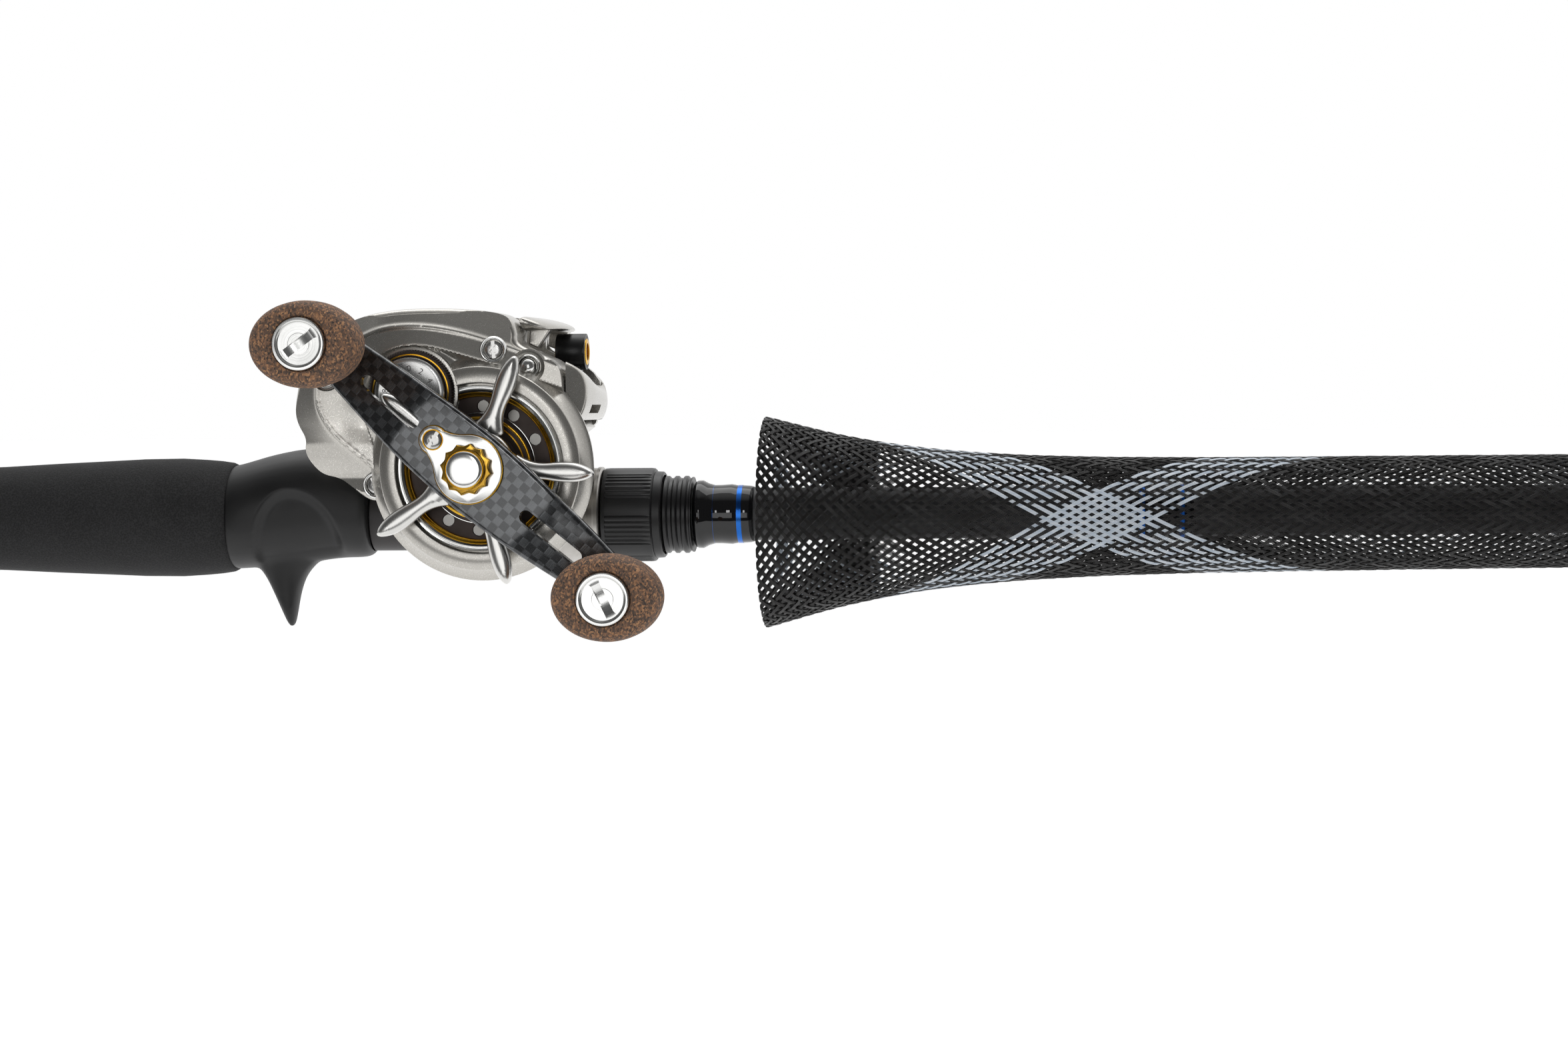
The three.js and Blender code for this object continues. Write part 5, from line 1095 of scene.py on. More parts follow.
def screwHead(x, z, seat, face, radius, turn):
    # a domed head with a rounded rim, cut for a cross or a flat driver
    dome = [(0, seat), (radius, seat), (radius, face - 0.55), (radius - 0.12, face - 0.3)]
    dome += [(radius - 0.4, face - 0.16), (0.6 * radius, face - 0.04), (0.3 * radius, face), (0, face)]
    return carve(lathe(dome, "out", (x, z), 56), *crossRecess(x, z, face, radius * 0.95, 0.9, turn))


def coverScrewPlaces():
    # (x, z, face of the cover there), from the screws' own boxes
    places = []
    for number in (1, 2, 3):
        low, high = boxOf(f"cover_screw_{number}")
        places.append(((low.x + high.x) / 2, (low.z + high.z) / 2, -low.y + 0.1))
    return places


def knobRoom(radius, back):
    # the tension knob's round, cut out of what it overlaps
    return disc(radius, back, 40, spoolX, spoolZ, 96)


def makeCoverShell():
    pull = (spoolX, spoolZ)
    sharp = spoolX + cover["sharpFrom"]
    shell = crowned(coverOutline(), cover["back"], cover["wallEnd"], cover["crown"], pull, sharp)
    shell = carve(shell, reliefBlock(cover["back"] + 0.05), operation="INTERSECT")
    cutters = []
    floor = cover["face"] - cover["seamDepth"] - 1.4
    for name in ("seam", "sideSeam"):
        path = openCurve(fromSpool(cover[name]))
        cutters.append(plate(strip(path, cover["seamWidth"]), floor, 34))
    first, *others = coverScrewPlaces()
    radius = cover["screwRadius"]
    cutters += [disc(radius + 0.95, face - 0.9, face + 3, x, z) for x, z, face in others]
    x, z, face = first
    cutters.append(disc(radius + 0.6, face - 1.5, 40, x, z))
    pinX, _, pinZ = middle("cover_pin")
    cutters.append(disc(4.3, 30.6, 40, pinX, pinZ))
    cutters.append(knobRoom(cover["seatRadius"] + 0.05, 29))
    addPiece("gear_cover_shell", carve(shell, *cutters), silver, "rod", ["gear_cover"], crease=40)


def makeBoss():
    flank = [(20.75, 30.6), (20.75, 35.6), (20.85, 35.9), (21.1, 36), (24.6, 35.4), (24.85, 35.2)]
    flank += [(25.0, 34.9), (25.5, 33.7), (26.9, 32.1), (27.3, 31.7), (27.7, 31.45), (27.7, 30.6)]
    boss = carve(onDrive(closed(flank), 144), knobRoom(cover["seatRadius"] + 0.05, 33.6))
    skirt = onDrive([(0, 17), (24.95, 17), (24.95, 31.2), (0, 31.2)])
    addPiece("gear_cover_boss", boss, silver, "rod", crease=34)
    addPiece("gear_cover_skirt", skirt, silver, "rod", crease=34)
    seat = [(0, 17), (11.3, 17), (11.4, 33.3), (11.25, 33.62), (10.9, 33.7), (8, 33.7), (0, 33.7)]
    addPiece("tension_knob_seat", onSpool(seat), silver, "rod", crease=34)


def makeCoverScrews():
    radius = cover["screwRadius"]
    for number, (x, z, face) in enumerate(coverScrewPlaces(), 1):
        name = f"cover_screw_{number}"
        head = screwHead(x, z, face - 1.5, face - 0.1, radius - 0.25, 0.35 + 0.5 * number)
        addPiece(f"{name}_head", head, steel, "rod", [name], crease=30)
        collar = [(radius - 0.1, face - 1.4), (radius - 0.05, face - 0.15), (radius + 0.15, face + 0.1)]
        collar += [(radius + 0.5, face + 0.12), (radius + 0.8, face - 0.2), (radius + 0.85, face - 1.4)]
        addPiece(f"{name}_collar", lathe(closed(collar), "out", (x, z), 56), bright, "rod", crease=50)


def makeCoverPin():
    x, _, z = middle("cover_pin")
    dome = [(0, 30.2), (1.95, 30.2), (1.95, 32.6), (1.8, 33.1), (1.4, 33.55), (0.8, 33.85), (0, 33.95)]
    ring = closed([(2.2, 30.2), (2.2, 32.3), (2.4, 32.75), (2.75, 32.8), (3.0, 32.5), (3.0, 30.2)])
    floor = [(0, 30.2), (4.3, 30.2), (4.3, 31.6), (3.9, 31.7), (3.2, 31.2), (0, 31.2)]
    addPiece("cover_pin_dome", lathe(dome, "out", (x, z), 48), bright, "rod", ["cover_pin"], crease=50)
    addPiece("cover_pin_ring", lathe(ring, "out", (x, z), 48), bright, "rod", crease=40)
    addPiece("cover_pin_collar", lathe(floor, "out", (x, z), 56), silver, "rod", crease=40)


def makeWellTrim():
    room = cover["seatRadius"] + 0.32
    outer = [(20.3, 31.35), (20.3, 34.9), (20.1, 35.15), (19.75, 35.1), (19.68, 34.4), (19.55, 34.4)]
    outer += [(19.5, 34.95), (19.2, 35.1), (18.75, 34.9), (18.7, 31.35)]
    ring = carve(onDrive(closed(outer), 144), knobRoom(room, 29))
    addPiece("well_ring_silver", ring, bright, "rod", ["outer_trim_ring"], crease=30)
    rim = [(18.66, 31.35), (18.66, 34.8), (18.5, 34.92), (17.75, 34.7), (17.5, 34.45), (17.45, 34.1)]
    rim.append((17.45, 31.35))
    ring = carve(onDrive(closed(rim), 144), knobRoom(room, 29))
    addPiece("well_ring_gold", ring, gold, "rod", crease=40)
    inner = [(9.6, 32.95), (9.6, 33.6), (10.5, 33.75), (13.1, 33.75), (13.3, 33.6), (13.3, 32.95)]
    ring = onDrive(closed(inner), 128)
    addPiece("plate_hub_ring", ring, darkPlate, "rod", ["inner_trim_ring"], crease=40)
    for name, radius, half, high, finish in (
        ("plate_line_silver", 13.55, 0.14, 33.2, bright),
        ("hub_line_gold_wide", 12.3, 0.34, 33.95, gold),
        ("hub_line_gold_fine", 10.9, 0.2, 33.95, gold),
    ):
        line = [(radius - half, 32.95), (radius - half, high - 0.1), (radius - 0.5 * half, high)]
        line += [(radius + 0.5 * half, high), (radius + half, high - 0.1), (radius + half, 32.95)]
        addPiece(name, onDrive(closed(line), 128), finish, "rod", crease=40)


def makePerforatedPlate():
    disk = plate(circleOutline(17.9, driveX, driveZ, 128), 31.35, 32.9, 0.08, 1)
    cutters = [disc(8.3, 30, 34, driveX, driveZ, 64), knobRoom(cover["seatRadius"] + 0.32, 29)]
    rivets = []
    for hole in range(cover["plateHoles"]):
        turn = 2 * pi * hole / cover["plateHoles"] - 0.05
        x, z = driveX + 15.2 * cos(turn), driveZ + 15.2 * sin(turn)
        cutters.append(disc(1.55, 30, 34, x, z, 32))
        if hypot(x - spoolX, z - spoolZ) > cover["seatRadius"]:
            face = [(0, 31.3), (1.46, 31.3), (1.46, 32.55), (1.4, 32.62), (0, 32.62)]
            rivets.append(lathe(face, "out", (x, z), 28))
    addPiece("perforated_disk", carve(disk, *cutters), darkPlate, "rod", ["perforated_plate"], crease=30)
    addPiece("plate_rivets", merge(*rivets), satinPin, "rod", crease=40)


def makeTensionKnob():
    low, high = boxOf("tension_knob")
    base, top = -high.y, -low.y
    body, teeth = "spool_tension_knob", 96
    rim = [(8.75, base), (10.35, base), (10.6, base + 0.25), (10.6, base + 1.7), (10.35, base + 2.15)]
    rim += [(9.95, base + 2.38), (8.9, base + 2.4), (8.75, base + 2.2)]
    knurled = onSpool(closed(rim), 3 * teeth)
    for v in knurled.verts:
        reach = Vector((v.co.x - spoolX, v.co.z - spoolZ))
        step = int(round(atan2(reach.y, reach.x) / (2 * pi) * 3 * teeth))
        if reach.length > 10.3 and step % 3 == 0:
            v.co.x -= reach.x / reach.length * 0.22
            v.co.z -= reach.y / reach.length * 0.22
    addPiece("tension_knob_rim", knurled, darkPlate, body, ["tension_knob"], crease=24)
    line = [(9.15, base + 2.3), (9.2, base + 2.46), (9.5, base + 2.46), (9.55, base + 2.3)]
    addPiece("tension_knob_line", onSpool(closed(line)), gold, body, crease=40)
    face = [(0, base), (8.65, base), (8.65, top - 0.5), (8.5, top - 0.2), (8.1, top - 0.05), (7.7, top)]
    face += [(7.55, top - 0.12), (7.2, top - 0.14), (4.2, top - 0.05), (0, top)]
    addPiece("tension_knob_face", onSpool(face), knobFace, body, crease=30)
    return top


def makeDialMarks(top):
    # plain scale numbers round the tension knob's face
    marks = []
    for step in range(12):
        angle = pi / 2 - 2 * pi * step / 12
        data = bpy.data.curves.new("scale", "FONT")
        data.body = str(step * 2)
        data.size = 2.1
        data.extrude = 0.03
        data.align_x, data.align_y = "CENTER", "CENTER"
        word = bpy.data.objects.new("scale", data)
        bpy.context.scene.collection.objects.link(word)
        bpy.context.view_layer.update()
        ready = word.evaluated_get(bpy.context.evaluated_depsgraph_get())
        flat = bmesh.new()
        flat.from_mesh(ready.to_mesh())
        bpy.data.objects.remove(word)
        bpy.data.curves.remove(data)
        stand = Matrix.Translation((spoolX + 5.9 * cos(angle), -(top - 0.1), spoolZ + 5.9 * sin(angle)))
        spun = Matrix.Rotation(pi / 2 - angle, 4, "Y") @ Matrix.Rotation(pi / 2, 4, "X")
        bmesh.ops.transform(flat, matrix=stand @ spun, verts=flat.verts[:])
        marks.append(flat)
    addPiece("tension_knob_scale", merge(*marks), engraving, "spool_tension_knob", crease=30)


makeCoverShell()
makeBoss()
makeCoverScrews()
makeCoverPin()
makeWellTrim()
makePerforatedPlate()
makeDialMarks(makeTensionKnob())
print("gear side covered")


def makeGuideBarrel():
    body = "line_guide_carriage"
    low, high = boxOf("line_guide")
    x, z = (low.x + high.x) / 2, high.z - 4.6
    start, end = x - 3.7, x + 3.7
    barrel = [(3.3, start), (4.0, start), (4.35, start + 0.15), (4.6, start + 0.6), (4.6, end - 0.6)]
    barrel += [(4.35, end - 0.15), (4.0, end), (3.3, end), (3.1, end - 0.6), (3.1, start + 0.6)]
    shape = lathe(closed(barrel), "x", (0, z), 72)
    addPiece("line_guide_barrel", shape, blackNylon, body, crease=36)
    refine("line_guide", blackNylon, body, 0.25)
    ring = [(2.2, start - 0.2), (2.45, start - 0.32), (3.0, start - 0.32), (3.35, start - 0.1)]
    ring += [(3.4, start + 0.2), (3.1, start + 0.4), (3.1, end - 0.4), (3.4, end - 0.2)]
    ring += [(3.35, end + 0.1), (3.0, end + 0.32), (2.45, end + 0.32), (2.2, end + 0.2), (2.05, x)]
    shape = lathe(closed(ring), "x", (0, z), 72)
    addPiece("line_guide_insert", shape, gold, body, ["line_guide_ring"], crease=40)


nose = {
    "start": 37.3,  # ahead of the spool's axis
    "bottom": -7.2,
    # (out, front, top) from the handle side to the palm side
    "sections": [(29.8, 41.0, 6.6), (29.4, 41.9, 7.2), (28.3, 42.3, 7.3), (22, 42.6, 6.6), (17.2, 42.75, 5.8),
                 (15.2, 42.75, 5.2), (8, 42.65, 3.9), (0, 42.4, 2.9), (-8, 41.8, 2.5), (-15.2, 40.8, 2.8),
                 (-17, 40.4, 4.2), (-20.8, 39.6, 4.3), (-23.3, 38.4, 3.6)],
    "sideTilt": 1.7,
    # (share of the way to the front, share of the height)
    "profile": [(0, 1), (0.3, 0.95), (0.62, 0.87), (0.86, 0.76), (0.98, 0.62), (1.01, 0.47), (0.97, 0.33),
                (0.84, 0.17), (0.64, 0.04), (0.4, 0), (0, 0.01)],
}
visor = {
    "root": 24.5,
    "top": 20.1,
    # (half width, reach) from the side to the middle
    "plan": [(22.0, 25.6), (21.8, 27.2), (20.8, 29.2), (18.4, 31.0), (15, 32.3), (11, 33.2), (5.5, 34.0),
             (0, 34.2)],
    # (share of the way to the front, below the arch)
    "profile": [(0.1, -4.6), (0, -3.1), (0, -1.7), (0.14, -1.25), (0.42, -1.7), (0.74, -2.5), (0.95, -3.4),
                (1.01, -4.1), (0.98, -4.55), (0.82, -4.75), (0.48, -4.85), (0.2, -4.9)],
}


def makeNose():
    low = nose["bottom"]
    profile = openCurve(nose["profile"], 2)
    rings = []
    for out, front, top in openCurve(nose["sections"], 2):
        tilt = nose["sideTilt"] * max(0.0, (out - 17) / 12.4)
        ring = []
        for along, up in profile:
            ahead = nose["start"] + along * (front - nose["start"])
            ring.append((spoolX + ahead, tilt * along - out, spoolZ + low + up * (top - low)))
        rings.append(ring)
    room = [(30, -8), (39.4, -8), (39.4, 9), (30, 9)]
    slot = [(39.2, -5.4), (44, -5.4), (44, -3.3), (39.2, -3.3), (38.8, -3.7), (38.8, -5.0)]
    cutters = [
        plate(fromSpool(room), -16.8, 16.8),
        plate(fromSpool(slot), 7, 20.3),
        disc(25.35, 16, 33, driveX, driveZ, 96),
    ]
    addPiece("front_cover_moulded", carve(skin(rings), *cutters), silver, "rod", ["front_cover"], crease=34)


def makeVisor():
    profile = curved([list(point) for point in visor["profile"]], 2)
    side = openCurve(visor["plan"], 2)
    plan = side + [(-half, reach) for half, reach in side[-2::-1]]
    rings = []
    for half, reach in plan:
        thin = min(1.0, 0.12 + (reach - visor["root"]) / 7)
        ring = []
        for along, up in profile:
            ahead = visor["root"] + along * (reach - visor["root"])
            ring.append((spoolX + ahead, -half, spoolZ + visor["top"] - 2.2 + (up + 2.2) * thin))
        rings.append(ring)
    strut = [(25.9, 11.9), (28.3, 10.9), (31.3, 15.5), (30, 16.2), (26.2, 15.9)]
    struts = [plate(fromSpool(strut), start, start + 4.2, 0.3, 2, 0.3) for start in (12.1, -16.3)]
    addPiece("thumb_rest_moulded", merge(skin(rings), *struts), silver, "rod", ["thumb_rest"], crease=40)


def mirrored(shape):
    # from the handle side to the palm side
    bmesh.ops.scale(shape, vec=(1, -1, 1), verts=shape.verts[:])
    bmesh.ops.reverse_faces(shape, faces=shape.faces[:])
    return shape


def makePalmCover():
    tail = [(-25, -9), (-26.8, -1), (-25.2, 7.2), (-19.8, 14.2), (-12, 18.2), (-3, 19.6)]
    deck = [(3, 20), (11, 19.8), (19, 19), (23.4, 17.9), (25.1, 15), (25.1, 11.2), (30, 9.2), (35, 6.9)]
    belly = [(36.9, 2), (36.7, -6), (30, -14.6), (18, -19.6), (2, -21.2), (-12, -19.6), (-21, -15.6)]
    levels = [(20.5, 0.3), (22.5, 0.8), (24.2, 1.55), (25.7, 2.5), (27, 3.7), (28.1, 5.2), (29, 6.9)]
    levels += [(29.6, 8.6), (30.05, 10.4), (30.3, 11.9)]
    outline = curved(fromSpool(tail + deck + belly), 3)
    dome = crowned(outline, cover["back"], 18.5, levels, (spoolX + 3, spoolZ))
    dome = carve(dome, onSpool(closed([(11.35, 32), (11.35, 29.6), (11.75, 29.6), (11.75, 32)])))
    seat = onSpool([(0, 20), (11.1, 20), (11.1, 30.8), (10.9, 31.1), (10.5, 31.2), (0, 31.2)])
    for name, shape, hollow, stands in (
        ("palm_cover_moulded", dome, 15, ["palm_cover"]),
        ("palm_cover_dial_seat", seat, 9.4, []),
    ):
        # room for the bearing, for the dial in front of it and for the shaft
        rooms = [disc(hollow, 16, 27.5, spoolX, spoolZ), disc(9.75, 29.1, 33, spoolX, spoolZ, 96)]
        rooms.append(disc(1.6, 10, 34, spoolX, spoolZ))
        addPiece(name, mirrored(carve(shape, *rooms)), silver, "rod", stands, crease=34)


makeNose()
makeVisor()
makePalmCover()
refine("reel_frame", silver, "rod", 0.35)
refine("brake_dial", darkPlate, "brake_selector", 0.25)
refine("thumb_bar", blackNylon, "clutch_bar", 0.6)
refine("guide_rail", steel, "rod", 0.1)
makeGuideBarrel()


def makeSpool():
    rim, side = 13.0, 12.0
    web = [(2.05, -rim + 3), (7.5, -rim + 3), (8.6, -rim + 2.2), (10.5, -rim + 0.4)]
    flange = [(16.4, -rim), (16.85, -rim + 0.15), (17, -rim + 0.45), (16.9, -side - 0.1), (16.5, -side)]
    barrel = [(11.6, -side + 0.3), (10.8, -side + 1.2), (10.5, -side + 3)]
    half = web + flange + barrel
    spool = onSpool(closed(half + [(radius, -out) for radius, out in reversed(half)]))
    places = circleOutline(8.9, spoolX, spoolZ, 12)
    bores = [disc(1.3, -20, 20, x, z, 20) for x, z in places]
    addPiece("spool_turned", carve(spool, *bores), spoolMetal, "spool_set", ["spool"], crease=34)


makeSpool()
keptNodes = {
    "spool_shaft": steel,
    "gear_side_bearing": steel,
    "palm_side_bearing": steel,
    "pinion": brass,
    "drive_gear": brass,
    "drag_washers": dragFibre,
    "drive_shaft": steel,
    "clutch_yoke": steel,
    "worm_shaft": steel,
    "worm_gear": blackNylon,
    "rear_knob_post": steel,
    "front_knob_post": steel,
}
for node, finish in keptNodes.items():
    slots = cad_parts[node].data.materials
    for index in range(len(slots)):
        slots[index] = finish
print("frame and drive finished")


star = {
    "arms": 5,
    "firstArm": 69.9,  # degrees
    # (out, share of the width, how much shorter)
    "crown": [(41.35, 0.96, 0.1), (41.75, 0.88, 0.3), (42.1, 0.74, 0.7), (42.3, 0.55, 1.2),
              (42.44, 0.33, 1.9), (42.48, 0.1, 2.7)],
}


def paddle():
    # (reach, sideways) round one arm: concave to a neck, then a leaf with a rounded end
    front = [(9.3, -4.5), (12.2, -2.9), (14.9, -2.15), (17.4, -2.2), (20.4, -2.6), (23.7, -2.65)]
    tip = [(26.6, -2.15), (28.6, -1.25), (29.3, -0.3), (28.5, 0.7)]
    rear = [(26.3, 1.75), (23.6, 2.3), (20.3, 2.25), (17.7, 1.95), (15.0, 1.95), (12.2, 2.75), (9.3, 4.4)]
    return front + tip + rear


def starArm():
    # one arm along +x: flat sides, then narrower and shorter rings up to a soft ridge
    shape = plate(curved(paddle(), 2), 39.9, 41.0, 0, 2, 0.3)
    front = min(shape.faces, key=lambda f: f.calc_center_median().y)
    flats = [v.co.copy() for v in front.verts]
    for out, narrow, short in star["crown"]:
        front = pushed(shape, front)
        before, flats = flats, []
        for v in front.verts:
            flat = min(before, key=lambda co: (co.x - v.co.x) ** 2 + (co.z - v.co.z) ** 2)
            flats.append(flat)
            tipness = max(0.0, (flat.x - 22.0) / 7.3) ** 2
            v.co = Vector((flat.x - short * tipness, -out, -0.15 + (flat.z + 0.15) * narrow))
    return shape


def makeStar():
    arms = []
    for number in range(star["arms"]):
        angle = radians(star["firstArm"] + 360 / star["arms"] * number)
        arms.append(turned(moved(starArm(), (driveX, 0, driveZ)), angle, (driveX, driveZ)))
    hub = [(0, 31.4), (7.9, 31.4), (7.9, 39.2), (9.3, 39.9), (9.9, 40.6), (9.9, 42.0), (9.5, 42.5)]
    hub += [(8.4, 42.9), (7.3, 43.05), (0, 43.05)]
    whole = merge(*arms, onDrive(hub))
    addPiece("star_drag_cast", whole, cast, "star_wheel", ["star_drag"], crease=40)


makeStar()


arm = {
    "halfSpan": 46.7,
    "middleHalf": 9.8,
    "endHalf": 5.45,
    "back": 45.5,
    "thickness": 3.0,
    "sweep": 3.2,
    "bendStart": 18.5,
    "bendRun": 23.0,
    "slotStart": 16.3,
    "slotEnd": 34.6,
    "slotHalf": 1.6,
}


def onHandle(shape):
    # drawn along +x at the drive axis, then turned to the handle's direction
    return turned(moved(shape, (driveX, 0, driveZ)), armTurn, (driveX, driveZ))


def armHalf(along):
    reach = abs(along)
    if reach > arm["halfSpan"]:
        return sqrt(max(0.0, arm["endHalf"] ** 2 - (reach - arm["halfSpan"]) ** 2))
    share = (reach / arm["halfSpan"]) ** 1.6
    return arm["middleHalf"] - (arm["middleHalf"] - arm["endHalf"]) * share


def slotOutline(start, end, half, steps=12):
    angles = [pi * i / steps for i in range(steps + 1)]
    right = [(end - half + half * sin(a), -half * cos(a)) for a in angles]
    left = [(start + half - half * sin(a), half * cos(a)) for a in angles]
    return right + left


def makeArm():
    end, back = arm["halfSpan"], arm["back"]
    reaches = [end * i / 16 for i in range(17)]
    reaches += [end + arm["endHalf"] * sin(pi / 2 * i / 8) for i in range(1, 9)]
    upper = [(reach, armHalf(reach)) for reach in reaches]
    side = upper + [(reach, -half) for reach, half in reversed(upper[:-1])]
    other = [(-reach, -half) for reach, half in upper[1:]]
    other += [(-reach, half) for reach, half in reversed(upper[1:-1])]
    board = plate(side + other, back, back + arm["thickness"], 0.85, 2, 0.3)
    points = slotOutline(arm["slotStart"], arm["slotEnd"], arm["slotHalf"])
    cutters = []
    for sign in (1, -1):
        cutters.append(plate([(sign * x, z) for x, z in points], 40, 50))
        cutters.append(disc(2.2, 40, 50, sign * end, 0))
    board = carve(board, *cutters)
    start, run = arm["bendStart"], arm["bendRun"]
    for sign in (1, -1):
        for i in range(13):
            cutAt = (sign * (start + run * i / 12), 0, 0)
            everything = board.verts[:] + board.edges[:] + board.faces[:]
            bmesh.ops.bisect_plane(board, geom=everything, plane_co=cutAt, plane_no=(1, 0, 0), dist=0.0005)
    # the ends sweep in towards the reel: a soft start, a steady slope, then level again
    for v in board.verts:
        share = max(0.0, min(1.0, (abs(v.co.x) - start) / run))
        v.co.y += arm["sweep"] * (1.25 * share - 0.25 * share**5 if share > 0.12 else 8.7 * share * share)
    addPiece("handle_arm_woven", onHandle(board), carbon, "crank", ["handle_arm"], crease=28)


retainer = {
    "back": 48.8,
    "radius": 8.5,
    "lobeRadius": 3.6,
    "screwReach": 11.1,  # from the drive axis to the screw in the lobe
}


def retainerOutline(grow):
    # a round plate whose one side runs out to a lobe round its screw
    radius, lobe, reach = retainer["radius"] + grow, retainer["lobeRadius"] + grow, retainer["screwReach"]
    shoulder, lobeTurn = radians(46), radians(102)
    angles = [shoulder + (2 * pi - 2 * shoulder) * i / 64 for i in range(65)]
    body = [(radius * cos(a), radius * sin(a)) for a in angles]
    neck = [(7.0, -5.15 - grow), (8.5, -4.25 - grow)]
    angles = [lobeTurn * (i / 12 - 1) for i in range(25)]
    tip = [(reach + lobe * cos(a), lobe * sin(a)) for a in angles]
    return body + neck + tip + [(x, -z) for x, z in reversed(neck)]


def makeRetainer():
    back, reach = retainer["back"], retainer["screwReach"]
    rim = plate(retainerOutline(0), back, back + 0.62, 0.12, 2)
    top = plate(retainerOutline(-0.28), back + 0.3, back + 1.0, 0.2, 3)
    for name, shape, finish, stands in (
        ("nut_retainer_edge", rim, gold, []),
        ("nut_retainer_plate", top, bright, ["nut_retainer"]),
    ):
        rooms = [disc(5.6, 48, 51, 0, 0, 48), disc(2.35, 48, 51, reach, 0, 48)]
        addPiece(name, onHandle(carve(shape, *rooms)), finish, "crank", stands, crease=40)
    head = screwHead(reach, 0, back + 0.1, back + 1.3, 2.3, 0.9)
    addPiece("retainer_screw_head", onHandle(head), steel, "crank", ["retainer_screw"], crease=30)
    ring = [(2.28, 49.2), (2.28, 49.82), (2.36, 49.92), (2.5, 49.92), (2.58, 49.82), (2.58, 49.2)]
    ring = lathe(closed(ring), "out", (reach, 0), 48)
    addPiece("retainer_screw_ring", onHandle(ring), gold, "crank", crease=40)


def makeHandleNut():
    top = -boxOf("handle_nut")[0].y
    points = []
    for step in range(96):
        angle = 2 * pi * step / 96
        wave = abs(((12 * step / 96) % 1) - 0.5) * 2
        radius = 5.62 + 0.7 * wave**1.6
        points.append((radius * cos(angle), radius * sin(angle)))
    skirt = plate(points, 50.12, 52.9, 0.35, 3)
    addPiece("handle_nut_scallops", onHandle(skirt), nutGold, "crank", ["handle_nut"], crease=30)
    collar = [(0, 52), (4.95, 52), (4.95, top - 0.75), (4.85, top - 0.5), (4.55, top - 0.42)]
    collar += [(4.5, top - 0.6), (0, top - 0.6)]
    collar = lathe(collar, "out", (0, 0), 96)
    addPiece("handle_nut_collar", onHandle(collar), gold, "crank", crease=30)
    dome = [(0, top - 1), (4.4, top - 1), (4.4, top - 0.45), (4.2, top - 0.2), (3.6, top - 0.06)]
    dome += [(2.4, top - 0.01), (0, top)]
    addPiece("handle_nut_dome", onHandle(lathe(dome, "out", (0, 0), 96)), bright, "crank", crease=50)


makeArm()
makeRetainer()
makeHandleNut()
print("handle made")


knob = {
    "inner": 46.3,
    "length": 25.0,
    "halfWidth": 13.2,
    "halfHeight": 10.4,
    "capRadius": 6.3,
    "slotHalf": 1.1,
    "slotDepth": 1.5,
    "slotCutter": 9,  # radius of the cutter
    "slotTurn": {"rear": -54, "front": 26},  # degrees
    # (share of the length, share of the full section)
    "sections": [(0, 0.56), (0.012, 0.61), (0.06, 0.7), (0.16, 0.8), (0.3, 0.9), (0.46, 0.965), (0.62, 1.0),
                 (0.76, 0.998), (0.86, 0.975), (0.93, 0.925), (0.97, 0.865), (0.99, 0.8), (1.0, 0.735)],
}


def makeKnob(side, centre):
    place = (centre[0], 0, centre[2])
    carrier = f"{side}_handle_knob"
    inner, width = knob["inner"], knob["halfWidth"]
    outer = inner + knob["length"]
    profile = [(2.3, inner + 0.3), (6.2, inner + 0.1)]
    profile += [(width * size, inner + knob["length"] * share) for share, size in knob["sections"]]
    profile += [(6.75, outer - 0.02), (6.62, outer - 0.15), (6.6, outer - 1.05), (2.3, outer - 1.05)]
    body = lathe(closed(profile), "out", (0, 0), 96)
    # the grip is flattened, and round again where the cap sits
    flatten = knob["halfHeight"] / width
    for v in body.verts:
        share = max(0.0, min(1.0, (hypot(v.co.x, v.co.z) - 6.8) / 1.6))
        v.co.z *= 1 - (1 - flatten) * share
    addPiece(f"{side}_knob_cork", moved(body, place), cork, carrier, [f"{side}_knob"], crease=50)
    collar = [(2.3, inner - 0.25), (6.9, inner - 0.25), (7.5, inner), (7.9, inner + 0.5)]
    collar += [(8.3, inner + 1.3), (2.3, inner + 1.3)]
    ring = lathe(closed(collar), "out", (0, 0), 72)
    for v in ring.verts:
        v.co.z *= flatten + 0.03
    addPiece(f"{side}_knob_collar", moved(ring, place), softCoat, carrier, crease=50)


def makeCap(side, centre):
    x, z = centre[0], centre[2]
    radius = knob["capRadius"]
    base = knob["inner"] + knob["length"] - 0.78
    top = base + 1.8
    cap = [(0, base), (radius, base), (radius, top - 0.5), (radius - 0.1, top - 0.18), (5.95, top - 0.02)]
    cap += [(5.6, top), (5.35, top - 0.12), (5.15, top - 0.5), (4.95, top - 0.62), (2.6, top - 0.66)]
    cap += [(2.5, top - 0.6), (0, top - 0.58)]
    shape = lathe(cap, "out", (x, z), 96)
    # the coin slot is milled by a round cutter, so its floor is hollow
    half, reach = knob["slotHalf"], knob["slotCutter"]
    slot = lathe([(0, -half), (reach, -half), (reach, half), (0, half)], steps=160)
    moved(slot, (x, -(top - knob["slotDepth"] + reach), z))
    slot = turned(slot, radians(knob["slotTurn"][side]), (x, z))
    material = turnedMetal(
        f"aluminiumCapTurned_{side}", "#d4d4d2", "#e2e2e0", 0.2, "out", (x, 0, z), 0.3, 0.002
    )
    name = f"{side}_knob_cap"
    addPiece(f"{name}_turned", carve(shape, slot), material, f"{side}_handle_knob", [name], crease=28)


for side, centre in (("rear", rearKnob), ("front", frontKnob)):
    makeKnob(side, centre)
    makeCap(side, centre)
print("knobs made")


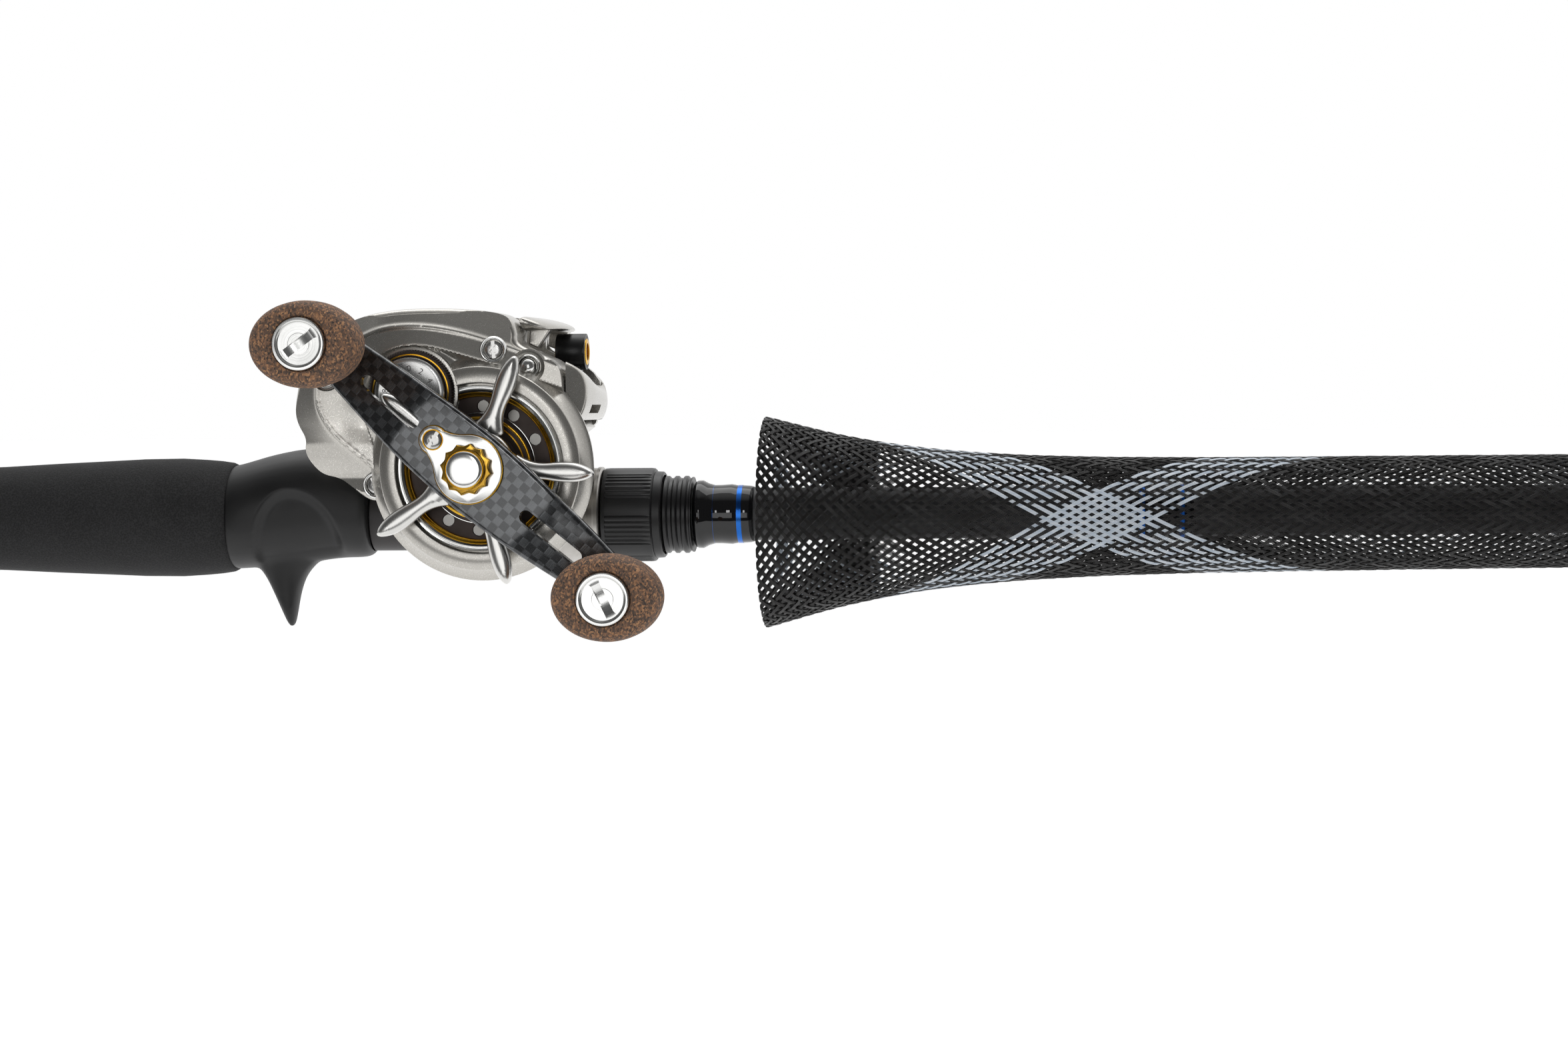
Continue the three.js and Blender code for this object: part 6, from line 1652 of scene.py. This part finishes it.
studio = {
    "floorDrop": 190,  # below the rod's axis
    "floorAhead": 400,  # the floor ends this far in front of the rod, before the dark room
    "floorGlow": 0.55,  # what the camera sees of the floor besides its own light
    "worldLight": 0.5,
    "aboveRadiance": 1.7,
    "frontRadiance": 1.6,
    "windowRadiance": 9.0,
    "darkSide": 0.1,  # brightness behind the camera, as seen in polished metal
}


def seenDirectly(tree):
    # 1 for the camera, reflections and glass, and 0 for light that falls on the object
    path = addNode(tree, "ShaderNodeLightPath")
    seen = math(tree, "MAXIMUM", path.outputs["Is Camera Ray"], path.outputs["Is Glossy Ray"])
    return math(tree, "MAXIMUM", seen, path.outputs["Is Transmission Ray"])


def makeFloor():
    shape = bmesh.new()
    bmesh.ops.create_grid(shape, x_segments=1, y_segments=1, size=12)
    back = 12 - studio["floorAhead"] * mm
    moved(shape, (0.7, back, -studio["floorDrop"] * mm))
    mesh = bpy.data.meshes.new("floor")
    shape.to_mesh(mesh)
    shape.free()
    material, tree, shader = newFinish("floorMattPaper", Roughness=0.9)
    shader.inputs["Base Color"].default_value = linear("#f4f4f4")
    shader.inputs["Emission Color"].default_value = (1, 1, 1, 1)
    glow = math(tree, "MULTIPLY", seenDirectly(tree), studio["floorGlow"])
    tree.links.new(glow, shader.inputs["Emission Strength"])
    mesh.materials.append(material)
    floor = bpy.data.objects.new("floor", mesh)
    bpy.context.scene.collection.objects.link(floor)


def addLamp(name, place, aim, size, radiance):
    # a soft box of an even brightness; its power follows from its area
    data = bpy.data.lights.new(name, "AREA")
    data.shape = "RECTANGLE"
    data.size, data.size_y = size
    data.energy = radiance * pi * size[0] * size[1]
    lamp = bpy.data.objects.new(name, data)
    bpy.context.scene.collection.objects.link(lamp)
    place, aim = Vector(place), Vector(aim)
    turn = (aim - place).to_track_quat("-Z", "Y").to_matrix().to_4x4()
    lamp.matrix_world = Matrix.Translation(place) @ turn


def makeWorld():
    # even light for the object, a white background, and a darker room behind the camera
    world = bpy.data.worlds.new("studio")
    bpy.context.scene.world = world
    world.use_nodes = True
    tree = world.node_tree
    path = addNode(tree, "ShaderNodeLightPath")
    place = addNode(tree, "ShaderNodeTexCoord").outputs["Generated"]
    split = addNode(tree, "ShaderNodeSeparateXYZ", {"Vector": place})
    behind = spread(tree, split.outputs["Y"], studio["darkSide"], 1.0, -0.45, 0.45)
    above = spread(tree, split.outputs["Z"], 0.0, 0.8, 0.78, 1.0)
    room = math(tree, "MAXIMUM", behind, above)
    glossy = addNode(
        tree,
        "ShaderNodeMix",
        {"Factor": path.outputs["Is Glossy Ray"], "A": studio["worldLight"], "B": room},
        data_type="FLOAT",
    ).outputs["Result"]
    direct = math(tree, "MAXIMUM", path.outputs["Is Camera Ray"], path.outputs["Is Transmission Ray"])
    strength = math(tree, "MAXIMUM", glossy, direct)
    tree.links.new(strength, tree.nodes["Background"].inputs["Strength"])
    tree.nodes["Background"].inputs["Color"].default_value = (1, 1, 1, 1)


makeFloor()
makeWorld()
addLamp("above", (0.2, 0.32, 1.1), (0.1, 0, 0), (1.6, 0.7), studio["aboveRadiance"])
addLamp("front", (-0.12, -1.7, -0.1), (0.05, 0, 0.02), (0.95, 0.6), studio["frontRadiance"])
addLamp("window", (0.08, -1.5, 0.32), (0.1, 0, 0.02), (0.12, 0.24), studio["windowRadiance"])
bpy.context.scene.view_settings.view_transform = "Standard"
print("studio lit")
